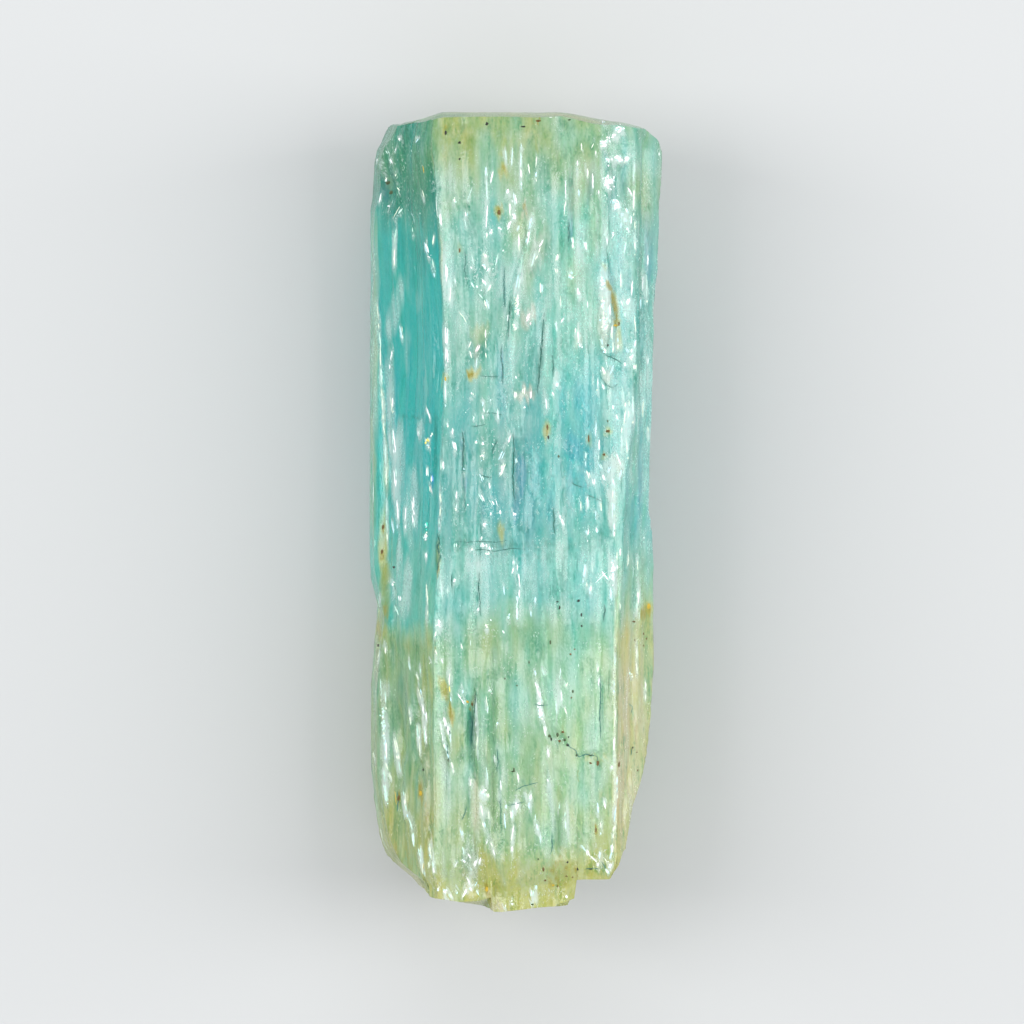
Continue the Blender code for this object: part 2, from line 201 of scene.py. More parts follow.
# How much of each quality there is along the crystal: (photo row, amount), on the left face, front and right
ZONES = {
    "deep": (
        ((110, 0.4), (160, 0.5), (200, 0.85), (240, 1), (430, 1), (540, 0.75), (614, 0.85), (640, 0.35),
         (700, 0.45), (780, 0.4), (860, 0.15)),
        ((110, 0.1), (180, 0.18), (330, 0.28), (400, 0.45), (470, 0.55), (535, 0.5), (560, 0.28),
         (625, 0.35), (640, 0.25), (700, 0.34), (800, 0.34), (850, 0.15), (900, 0.05)),
        ((110, 0.1), (170, 0.3), (250, 0.5), (400, 0.3), (500, 0.4), (570, 0.35), (620, 0.08), (900, 0)),
    ),
    "blue": (
        ((110, 0.1), (200, 0.15), (400, 0.2), (560, 0.1), (626, 0.05), (640, 0), (720, 0.1), (860, 0)),
        ((110, 0), (200, 0.12), (330, 0.18), (400, 0.35), (470, 0.42), (535, 0.32), (560, 0.28),
         (625, 0.18), (640, 0), (900, 0)),
        ((110, 0.05), (220, 0.3), (400, 0.3), (560, 0.25), (610, 0.05), (900, 0)),
    ),
    "straw": (
        ((110, 0.3), (160, 0.35), (200, 0.18), (240, 0.04), (500, 0), (560, 0.1), (612, 0.14), (640, 0.8),
         (665, 0.62), (700, 0.5), (780, 0.66), (850, 0.92), (900, 1)),
        ((110, 0.8), (165, 0.62), (210, 0.36), (300, 0.22), (400, 0.12), (540, 0.12), (604, 0.08),
         (650, 0.46), (700, 0.44), (780, 0.5), (840, 0.7), (870, 0.95), (900, 1)),
        ((110, 0.4), (160, 0.32), (300, 0.1), (540, 0.1), (590, 0.35), (630, 0.85), (870, 0.95)),
    ),
    "milk_and_highlight": (
        ((110, 0.05), (400, 0.05), (450, 0.15), (540, 0.15), (620, 0.05), (660, 0.12), (860, 0.15)),
        ((110, 0.12), (200, 0.26), (330, 0.26), (400, 0.16), (530, 0.18), (560, 0.32), (618, 0.3),
         (640, 0.15), (760, 0.2), (860, 0.15), (900, 0.1)),
        ((110, 0.2), (250, 0.28), (400, 0.3), (560, 0.25), (640, 0.2), (860, 0.2)),
    ),
    "dash": (
        ((110, 0.4), (215, 0.3), (240, 0.06), (400, 0.1), (450, 0.3), (600, 0.2), (640, 0.15), (860, 0.2)),
        ((110, 0.15), (160, 0.3), (200, 0.5), (330, 0.5), (540, 0.4), (620, 0.35), (660, 0.2), (900, 0.25)),
        ((110, 0.5), (300, 0.7), (600, 0.6), (640, 0.25), (860, 0.2)),
    ),
    "shade": (
        ((110, 0.95), (200, 0.9), (225, 0.35), (240, 0), (625, 0), (640, 0.35), (700, 0.4), (820, 0.4),
         (860, 0.25), (900, 0.2)),
        ((110, 0.3), (160, 0.25), (200, 0.12), (420, 0.05), (440, 0.15), (530, 0.15), (560, 0), (620, 0),
         (640, 0.15), (700, 0.05), (900, 0.15)),
        ((110, 0.15), (560, 0), (900, 0)),
    ),
    "crumple": (
        ((110, 0.5), (220, 0.4), (240, 0.1), (440, 0.1), (640, 0.2), (700, 0.4), (900, 0.6)),
        ((110, 0.2), (170, 0.3), (200, 0.8), (400, 0.7), (440, 1), (530, 1), (560, 0.5), (640, 0.3),
         (780, 0.4), (900, 0.7)),
        ((110, 0.6), (250, 0.8), (500, 0.9), (600, 0.4), (630, 0.1), (900, 0.3)),
    ),
    # Frosted skin and the painted glints on it: the white crumbs and the glint flakes follow this mask
    "frost_and_glints": (
        ((110, 0.25), (210, 0.25), (240, 0), (440, 0.05), (640, 0.08), (680, 0.15), (860, 0.2)),
        ((110, 0.05), (160, 0.15), (190, 0.35), (330, 0.36), (540, 0.3), (620, 0.22), (650, 0.22),
         (900, 0.26)),
        ((110, 0.3), (300, 0.45), (560, 0.35), (640, 0.2), (860, 0.2)),
    ),
}

# Patches on the side that is seen: photo column and row, half width and half length in pixels, lean, strength
PATCHES = {
    # Deep patches on the grooves of RIDGES are painted shade in those grooves, as a deeper teal
    "deep": (
        (405, 300, 30, 100, 0, 0.5), (427, 590, 9, 40, 0, 0.7), (403, 700, 8, 48, 0.05, 0.9),
        (408, 765, 5, 34, 0, 0.8), (411, 795, 3, 26, 0, 0.7), (432, 705, 4, 34, 0, 0.6),
        (600, 705, 2, 36, 0, 0.9), (582, 690, 18, 50, 0, 0.3), (512, 735, 14, 34, 0, 0.45),
        (530, 740, 7, 40, 0, 0.35), (590, 800, 16, 36, 0, 0.3), (386, 190, 8, 14, 0.2, 0.9),
        (464, 480, 5, 16, 0, 0.9), (524, 485, 13, 42, 0, 0.8), (437, 500, 3, 60, 0, 0.7),
        (424, 520, 5, 26, 0, 0.6), (385, 700, 3, 20, 0, 0.3), (596, 440, 2, 30, 0, 0.4),
        (639, 400, 2, 90, 0, 0.9), (646, 470, 3, 50, 0, 0.6), (568, 232, 1.5, 14, 0, 1),
        (620, 175, 8, 6, 0, 0.6), (545, 255, 10, 14, -0.4, 0.5), (463, 752, 6, 8, 0, 0.9),
        (469, 790, 2, 34, 0, 0.5), (416, 840, 3, 30, 0, 0.5), (572, 445, 10, 20, 0, 0.4),
        (419, 500, 2, 40, 0, 0.5), (452, 590, 2, 30, 0, 0.4),
    ),
    "blue": (
        (571, 200, 4, 38, 0, 0.9), (589, 182, 6, 22, 0, 0.7), (571, 226, 3, 18, 0, 0.9),
        (648, 240, 6, 54, 0, 0.8), (640, 470, 5, 70, 0, 0.6), (521, 476, 7, 26, 0, 1),
        (516, 505, 4, 24, 0, 0.8), (536, 470, 8, 36, 0, 0.5), (463, 452, 1.6, 26, 0, 1),
        (465, 481, 4, 10, 0, 0.9), (572, 446, 12, 20, 0, 0.7), (576, 396, 10, 22, 0, 0.5),
        (502, 366, 1.6, 22, 0, 0.9), (472, 727, 3, 14, 0, 1), (446, 765, 5, 34, 0.05, 0.5),
        (386, 190, 7, 12, 0.2, 0.6), (433, 480, 2.5, 12, 0.1, 1), (404, 704, 8, 36, 0, 0.5),
        (628, 285, 5, 14, 0, 0.6), (605, 160, 3, 16, 0.2, 0.7), (504, 290, 2, 30, 0, 0.5),
    ),
    "straw": (
        (374, 330, 5, 140, 0, 0.4), (372, 470, 5, 80, 0, 0.4), (444, 688, 6, 15, 0.2, 1),
        (452, 714, 4, 15, 0.15, 0.9), (385, 598, 6, 40, 0, 0.8), (382, 636, 9, 12, 0, 0.9),
        (412, 650, 22, 12, 0.6, 0.4), (421, 790, 6, 20, 0, 0.9), (397, 848, 14, 20, 0.3, 0.9),
        (426, 876, 8, 10, 0.4, 0.8), (449, 838, 6, 24, 0.1, 0.8), (471, 845, 8, 6, 0, 0.6),
        (488, 884, 5, 11, 0.2, 1), (561, 855, 9, 12, -0.2, 1), (556, 872, 18, 9, 0, 1),
        (525, 882, 18, 12, 0, 0.6), (648, 607, 6, 12, 0, 1), (645, 620, 8, 28, 0, 0.8),
        (637, 720, 5, 90, 0, 0.8), (614, 308, 2.5, 20, 0.25, 1), (618, 342, 4, 14, 0, 0.8),
        (604, 271, 3, 5, 0, 0.9), (473, 374, 8, 5, 0.2, 1), (546, 430, 4, 11, 0, 0.9),
        (480, 334, 12, 14, 0, 0.5), (499, 215, 6, 8, 0, 1), (503, 172, 7, 9, 0, 1),
        (501, 157, 4, 6, 0, 0.8), (523, 141, 6, 10, 0, 0.6), (536, 150, 3, 11, 0, 0.8),
        (447, 133, 5, 5, 0, 1), (501, 529, 4, 12, 0, 0.9), (465, 124, 16, 5, 0, 0.6),
        (508, 128, 14, 12, 0, 0.6), (384, 420, 2, 40, 0.08, 0.4), (386, 475, 3, 26, 0, 0.4),
        (439, 556, 2, 18, 0, 0.7), (560, 736, 12, 10, 0.3, 0.7), (595, 757, 16, 6, 0.1, 0.8),
        (596, 828, 3, 13, 0, 0.8), (600, 792, 3, 10, 0, 0.7), (442, 262, 1.5, 34, 0.02, 0.7),
        (482, 770, 12, 36, 0, 0.4), (480, 240, 24, 16, 0, 0.3), (383, 540, 5, 34, 0, 0.7),
    ),
    # Milk patches on the ridges of RIDGES are painted highlights along their crests
    "milk_and_highlight": (
        (396, 310, 9, 32, -0.25, 0.6), (375, 340, 5, 130, 0, 0.45), (390, 395, 6, 50, 0.05, 0.7),
        (398, 470, 8, 50, 0, 0.75), (412, 505, 9, 40, 0, 0.6), (402, 590, 12, 44, 0, 0.5),
        (395, 248, 2.5, 30, 0, 0.5), (418, 300, 6, 20, -0.1, 0.25), (408, 350, 5, 30, 0.1, 0.3),
        (425, 395, 4, 30, 0, 0.25), (393, 445, 5, 24, 0.05, 0.9), (396, 487, 4, 26, 0, 0.8),
        (398, 517, 3, 16, 0, 0.9), (406, 518, 2.5, 14, 0, 0.9), (414, 512, 3.5, 20, 0.02, 1),
        (413, 485, 4, 14, 0, 0.6), (391, 400, 4, 18, 0.1, 0.8), (389, 372, 3, 14, 0.1, 0.6),
        (421, 432, 4, 10, 0.1, 0.6), (447, 350, 3.5, 30, 0.02, 1), (446, 398, 2, 14, 0, 1),
        (444, 262, 4, 46, 0.03, 0.6), (451, 296, 4, 16, 0, 0.7), (443, 465, 3, 9, 0, 0.7),
        (400, 565, 5, 36, 0, 0.6), (396, 605, 4, 14, 0, 0.5), (393, 584, 3, 5, 0, 0.8),
        (439, 624, 5, 8, 0, 1), (441, 592, 3, 14, 0, 0.5), (517, 604, 5, 26, 0, 0.8),
        (516, 570, 4, 14, 0.1, 0.9), (463, 607, 10, 16, 0, 0.5), (498, 590, 16, 36, 0, 0.3),
        (535, 575, 8, 30, 0, 0.35), (585, 572, 3, 12, -0.1, 0.9), (589, 591, 3, 8, 0, 1),
        (612, 572, 5, 28, 0, 1), (613, 606, 4, 16, 0, 0.6), (612, 520, 5, 22, 0, 0.8),
        (604, 308, 6, 42, 0, 1), (603, 280, 4, 10, 0, 1), (614, 342, 7, 16, 0.3, 0.6),
        (603, 147, 6, 6, 0, 1), (617, 135, 7, 6, -0.6, 1), (618, 162, 12, 6, 0.1, 1),
        (607, 186, 6, 10, 0, 1), (615, 207, 6, 6, 0, 1), (626, 227, 6, 13, 0, 0.8),
        (605, 236, 3, 8, 0, 0.7), (579, 262, 11, 20, 0, 0.55), (536, 255, 6, 26, -0.4, 0.7),
        (518, 288, 3.5, 26, -0.16, 1), (529, 236, 2.5, 13, -0.3, 1), (576, 305, 14, 22, 0, 0.3),
        (512, 212, 6, 24, 0, 0.7), (486, 268, 6, 11, 0.2, 0.8), (487, 288, 7, 7, 0, 0.8),
        (487, 305, 4, 7, 0.4, 0.8), (466, 222, 4, 7, 0.4, 0.7), (455, 203, 4, 5, 0, 0.6),
        (529, 318, 7, 8, 0, 0.6), (516, 327, 4, 5, 0, 0.9), (578, 340, 3, 8, 0, 0.9),
        (524, 395, 9, 7, 0, 0.6), (556, 384, 5, 11, 0, 0.7), (545, 405, 4, 12, 0, 0.5),
        (595, 445, 3.5, 48, 0, 0.5), (608, 468, 11, 12, 0, 0.7), (590, 478, 7, 9, 0, 0.7),
        (611, 495, 5, 14, 0, 0.9), (627, 425, 6, 38, -0.06, 0.8), (630, 361, 6, 12, 0, 0.8),
        (628, 312, 8, 14, 0, 0.8), (635, 330, 2, 36, 0, 0.6), (607, 371, 6, 8, 0, 0.7),
        (645, 292, 3, 20, 0.03, 0.9), (637, 600, 3, 18, -0.1, 0.9), (631, 560, 3, 12, 0, 0.5),
        (385, 733, 4.5, 38, 0.04, 1), (386, 690, 5, 14, 0, 0.7), (397, 755, 3.5, 22, 0.12, 0.9),
        (386, 785, 4, 20, 0.1, 0.9), (411, 717, 2, 11, 0.12, 1), (421, 694, 3, 11, 0.15, 1),
        (425, 726, 3, 18, 0.08, 1), (420, 738, 3, 18, 0.1, 1), (405, 801, 3, 15, 0.12, 1),
        (413, 828, 5, 14, 0.1, 0.6), (422, 858, 3, 17, 0.15, 1), (432, 852, 3.5, 18, 0.15, 0.9),
        (445, 738, 2.5, 22, 0.2, 1), (446, 785, 5, 42, 0.05, 0.45), (477, 722, 1.6, 32, 0.05, 1),
        (484, 740, 6, 50, 0.1, 0.35), (462, 695, 4, 8, 0, 0.6), (450, 672, 3, 16, 0, 0.6),
        (483, 790, 5, 7, 0, 1), (483, 810, 4, 9, 0, 0.9), (500, 788, 3, 14, 0, 0.7),
        (491, 838, 4, 16, 0.3, 0.7), (513, 832, 2.5, 14, 0, 0.9), (514, 806, 5, 7, 0, 0.9),
        (528, 798, 5, 8, 0, 0.9), (538, 829, 2.5, 11, 0.15, 1), (506, 772, 6, 16, 0, 0.4),
        (539, 692, 2.5, 12, 0.25, 1), (542, 718, 3.2, 16, 0.25, 1), (548, 750, 1.5, 8, 0.2, 1),
        (551, 800, 3.5, 40, 0.12, 0.6), (566, 812, 2.5, 22, 0.05, 0.7), (561, 693, 1.8, 8, 0, 0.9),
        (557, 690, 4, 26, 0, 0.4), (604, 803, 2, 6, 0.1, 1), (472, 860, 8, 28, 0, 0.5),
        (600, 853, 5, 9, 0.8, 0.7), (609, 862, 4, 4, 0, 1), (535, 892, 4, 8, 0, 0.7),
        (614, 745, 1.2, 110, 0, 0.7), (624, 690, 7, 30, 0, 0.3), (380, 600, 1.5, 12, -0.1, 0.9),
    ),
    "rose": (
        (630, 740, 17, 120, 0, 0.55), (528, 318, 8, 9, 0, 0.9), (578, 340, 4, 9, 0, 0.8),
        (525, 395, 10, 7, 0, 0.8), (604, 320, 7, 34, 0, 0.6), (624, 700, 9, 60, 0, 0.7),
        (620, 800, 7, 60, 0, 0.7), (486, 268, 5, 9, 0, 0.6), (525, 214, 3, 9, 0, 0.8),
        (654, 690, 2, 90, 0, 0.8), (536, 262, 9, 30, -0.3, 0.5), (612, 510, 5, 24, 0, 0.6),
        (390, 182, 5, 8, 0, 0.5), (476, 800, 8, 30, 0, 0.5), (430, 800, 10, 60, 0, 0.25),
        (499, 905, 12, 4, 0, 0.9), (606, 375, 6, 8, 0, 0.5), (615, 468, 8, 14, 0, 0.5),
        (470, 868, 8, 20, 0, 0.5), (376, 700, 2, 80, 0, 0.6), (478, 352, 5, 9, 0, 0.5),
    ),
    # Shade patches on the grooves of RIDGES, beside the STEPS and along the cracks are painted shade in those
    # hollows
    "shade": (
        (464, 470, 2.5, 42, 0, 0.9), (470, 730, 5, 26, 0, 0.9), (463, 752, 7, 8, 0, 0.7),
        (509, 322, 2, 22, -0.1, 0.9), (541, 355, 2.5, 42, -0.13, 0.9), (568, 234, 2, 14, 0, 0.9),
        (551, 800, 2, 48, 0.12, 0.6), (500, 782, 2, 44, 0.05, 0.7), (504, 288, 2, 26, 0, 0.7),
        (523, 480, 10, 40, 0, 0.2), (438, 552, 2, 22, 0, 0.8), (403, 705, 8, 50, 0.05, 0.5),
        (409, 770, 4, 34, 0, 0.5), (417, 790, 3, 26, 0, 0.4), (432, 705, 3, 24, 0, 0.5),
        (601, 700, 2, 34, 0, 0.7), (560, 737, 9, 7, 0.4, 0.9), (597, 760, 5, 6, 0, 0.6),
        (386, 190, 9, 16, 0, 0.8), (386, 152, 8, 8, 0, 0.4), (410, 650, 22, 12, 0.6, 0.5),
        (450, 752, 2, 24, 0.2, 0.6), (469, 790, 3, 30, 0, 0.6), (515, 547, 80, 3, 0, 0.6),
        (525, 556, 66, 2, -0.02, 0.4), (480, 592, 2, 24, 0, 0.6), (454, 582, 2, 10, 0, 0.6),
        (419, 500, 2, 36, 0, 0.5), (385, 600, 5, 40, 0, 0.4), (639, 300, 2, 120, 0, 0.6),
        (598, 235, 2, 40, 0, 0.6), (560, 262, 3, 30, -0.1, 0.4), (478, 345, 12, 20, 0, 0.4),
        (480, 272, 14, 12, 0, 0.4), (507, 380, 3, 30, 0, 0.4), (615, 310, 2, 24, 0.2, 0.5),
        (610, 387, 10, 3, 0, 0.6), (577, 486, 10, 3, 0.5, 0.5), (593, 498, 10, 2, 0, 0.5),
        (396, 800, 3, 14, 0, 0.6), (421, 792, 4, 9, 0, 0.5), (402, 860, 12, 14, 0.3, 0.4),
        (471, 862, 10, 26, 0, 0.5), (433, 826, 4, 6, 0.4, 0.6), (526, 784, 12, 2, -0.2, 0.6),
        (516, 801, 10, 2, 0, 0.6), (602, 862, 2, 8, 0.6, 0.7), (592, 866, 10, 2, 0, 0.5),
        (440, 240, 1.5, 60, 0.03, 0.7), (436, 470, 2, 60, 0, 0.5), (556, 670, 2, 30, 0, 0.3),
        (616, 700, 1.5, 60, 0, 0.5), (444, 560, 2, 40, 0, 0.3), (530, 238, 1.5, 20, -0.3, 0.4),
        (543, 260, 8, 22, -0.4, 0.3), (414, 250, 20, 40, 0, 0.3),
    ),
    "rust": (
        (499, 213, 2.5, 4, 0, 1), (447, 131, 3, 3, 0, 0.7), (538, 124, 2.5, 2, 0, 1),
        (608, 292, 2.6, 9, 0.4, 1), (613, 312, 2.8, 15, 0.2, 1), (616, 327, 4, 4, 0, 1),
        (560, 866, 17, 15, 0, 0.45), (402, 856, 20, 22, 0.3, 0.35), (645, 612, 6, 10, 0, 0.7),
        (520, 122, 30, 6, 0, 0.25), (471, 374, 5, 2.5, 0.3, 0.7), (503, 531, 2, 9, 0.1, 0.5),
        (383, 527, 2, 5, 0, 0.9), (382, 552, 2.5, 6, 0, 0.9), (386, 612, 3, 14, 0, 0.6),
        (378, 632, 4, 8, 0, 0.9), (438, 569, 1.6, 5, 0, 0.9), (421, 792, 3, 8, 0, 0.9),
        (426, 804, 2, 4, 0, 0.7), (452, 716, 1.6, 14, 0.12, 1), (446, 694, 3, 9, 0.2, 0.5),
        (488, 884, 3, 9, 0.2, 1), (553, 878, 8, 8, 0, 0.5), (576, 872, 3, 6, 0, 0.8),
        (561, 858, 5, 5, 0, 0.5), (595, 828, 1.5, 10, 0, 0.9), (648, 607, 2.5, 5, 0, 0.8),
        (631, 750, 2, 6, -0.2, 0.7), (399, 798, 2, 9, 0, 0.8), (504, 172, 3, 3, 0, 0.6),
        (546, 431, 1.6, 7, 0, 0.7), (436, 645, 2, 10, 0, 0.5), (472, 704, 3, 4, 0, 0.7),
        (408, 855, 2, 10, 0.1, 0.6), (397, 850, 4, 14, 0.2, 0.4), (577, 770, 1.2, 10, 0, 0.6),
        (525, 214, 1.8, 7, 0, 0.5), (654, 660, 1.4, 60, 0, 0.4),
    ),
    "frost_and_glints": (
        (608, 170, 14, 46, 0, 0.8), (622, 225, 12, 36, 0, 0.9), (388, 160, 12, 36, 0, 0.5),
        (473, 862, 14, 34, 0, 1), (604, 315, 8, 40, 0, 0.6), (630, 330, 8, 50, 0, 0.9),
        (606, 375, 8, 10, 0, 0.9), (607, 470, 12, 30, 0, 0.9), (485, 546, 46, 5, 0, 0.9),
        (484, 272, 14, 30, 0, 0.9), (520, 480, 12, 50, 0, 0.4), (600, 858, 14, 14, 0.4, 1),
        (511, 215, 8, 28, 0, 1), (560, 737, 9, 8, 0.4, 0.8), (484, 795, 8, 18, 0, 0.9),
        (443, 630, 7, 24, 0, 0.7), (520, 800, 16, 12, 0, 0.6), (516, 570, 7, 20, 0, 0.8),
        (493, 450, 14, 28, 0, 0.7), (490, 505, 20, 20, 0, 0.6), (440, 880, 16, 12, 0, 0.6),
        (587, 580, 6, 20, 0, 0.5), (533, 892, 10, 8, 0, 0.7), (474, 350, 10, 16, 0, 0.7),
        (575, 270, 14, 26, 0, 0.5),
    ),
}
QUALITIES = ("deep", "blue", "straw", "rose", "shade", "milk_and_highlight", "dash", "frost_and_glints", "crumple", "rust")

# Size along each axis, in millimetres, and weight of the clouds that tear each quality's edges
CLOUDS = {
    "deep": (((0.45, 7.0, 0.45), 0.28), ((1.1, 2.4, 1.1), 0.32)),
    "blue": (((0.40, 6.0, 0.40), 0.35), ((1.5, 3.0, 1.5), 0.25)),
    "straw": (((0.60, 3.0, 0.60), 0.28), ((1.6, 2.4, 1.6), 0.34)),
    "rose": (((0.30, 1.0, 0.30), 0.50),),
    "shade": (((0.20, 1.5, 0.20), 0.50),),
    "milk_and_highlight": (((0.25, 2.4, 0.25), 0.35), ((0.7, 1.2, 0.7), 0.35)),
    "dash": (((0.8, 2.0, 0.8), 0.50),),
    "frost_and_glints": (((0.5, 0.9, 0.5), 0.70),),
    "crumple": (((1.2, 2.0, 1.2), 0.60),),
    "rust": (((0.15, 0.4, 0.15), 0.50),),
}
TONE_CLOUDS = (
    ((0.50, 9.0, 0.50), 0.25), ((0.20, 3.0, 0.20), 0.25), ((0.34, 0.6, 0.34), 0.35), ((0.9, 1.4, 0.9), 0.40),
)
TONE_SEED = 61

# Size along each axis in millimetres, bend, weight and seed of the fine folds of the healed skin
CRUMPLES = (
    ((0.62, 1.5, 0.62), 2.0, 1.0, 211),
    ((0.36, 0.75, 0.36), 1.6, 0.8, 212),
    ((0.26, 0.42, 0.26), 1.0, 0.6, 213),
)
CRUMPLE_BEND = (0.9, 1.5, 0.9)
CRUMPLE_BEND_SEEDS = (201, 202, 203)
CRUMPLE_SHARPNESS = 7.0

# The folds lighten the crystal by the first number, less a share of it all round, and whiten it by the
# second:
# a painted highlight along each fold's crest
FOLD_HIGHLIGHT = 0.30
FOLD_HIGHLIGHT_WHITE = 0.14
FOLD_MEAN = 0.3

# Steps in the front face: both ends as pixels, the side that stands up, height in millimetres, fade in pixels
STEPS = (
    ((531, 212), (509, 342), 1, 0.12, 24),
    ((543, 312), (537, 398), -1, 0.12, 12),
    ((566, 178), (569, 246), 1, 0.06, 10),
    ((602, 270), (597, 345), 1, 0.10, 10),
    ((463, 428), (463, 512), 1, 0.09, 12),
    ((513, 430), (514, 520), -1, 0.08, 10),
    ((451, 412), (449, 330), -1, 0.07, 6),
    ((435, 640), (434, 760), 1, 0.07, 10),
    ((476, 680), (478, 770), 1, 0.12, 16),
    ((497, 735), (501, 830), -1, 0.08, 14),
    ((543, 745), (553, 848), 1, 0.08, 14),
    ((599, 655), (601, 760), 1, 0.06, 12),
    ((633, 150), (634, 400), 1, 0.05, 10),
    ((620, 390), (622, 470), 1, 0.07, 12),
)

# Ridges, and grooves where the height is below zero: column, row, half width, half length, lean, height
RIDGES = (
    (385, 733, 6, 44, 0.04, 0.14), (398, 755, 5, 26, 0.12, 0.12), (387, 785, 5, 24, 0.1, 0.12),
    (411, 717, 3.5, 14, 0.12, 0.1), (421, 694, 4.5, 14, 0.15, 0.12), (425, 728, 4, 22, 0.08, 0.12),
    (420, 738, 4.5, 22, 0.1, 0.12), (405, 801, 4.5, 20, 0.12, 0.12), (413, 828, 6, 18, 0.1, 0.08),
    (422, 858, 5, 20, 0.15, 0.12), (432, 852, 5, 22, 0.15, 0.1), (445, 738, 4, 26, 0.2, 0.1),
    (403, 712, 7, 50, 0.05, -0.12), (409, 765, 4, 36, 0, -0.08), (470, 730, 5, 34, 0, -0.16),
    (464, 470, 4, 40, 0, -0.12), (393, 440, 5, 60, 0.05, 0.06), (414, 505, 5, 34, 0, 0.06),
    (518, 285, 4, 30, -0.16, 0.06), (539, 700, 4, 30, 0.2, 0.08), (612, 575, 6, 34, 0, 0.07),
    (605, 305, 7, 44, 0, 0.08), (610, 364, 14, 8, 0, -0.1), (607, 186, 7, 11, 0, 0.08),
    (618, 162, 12, 7, 0, 0.07), (628, 425, 7, 44, -0.06, 0.08), (524, 485, 14, 46, 0, -0.1),
    (446, 790, 5, 50, 0.05, -0.06), (471, 862, 10, 34, 0, -0.08), (402, 640, 30, 6, 0, 0.03),
    (560, 737, 8, 8, 0.4, -0.1), (596, 755, 16, 4, 0.1, -0.06), (499, 549, 54, 4, 0, -0.05),
)
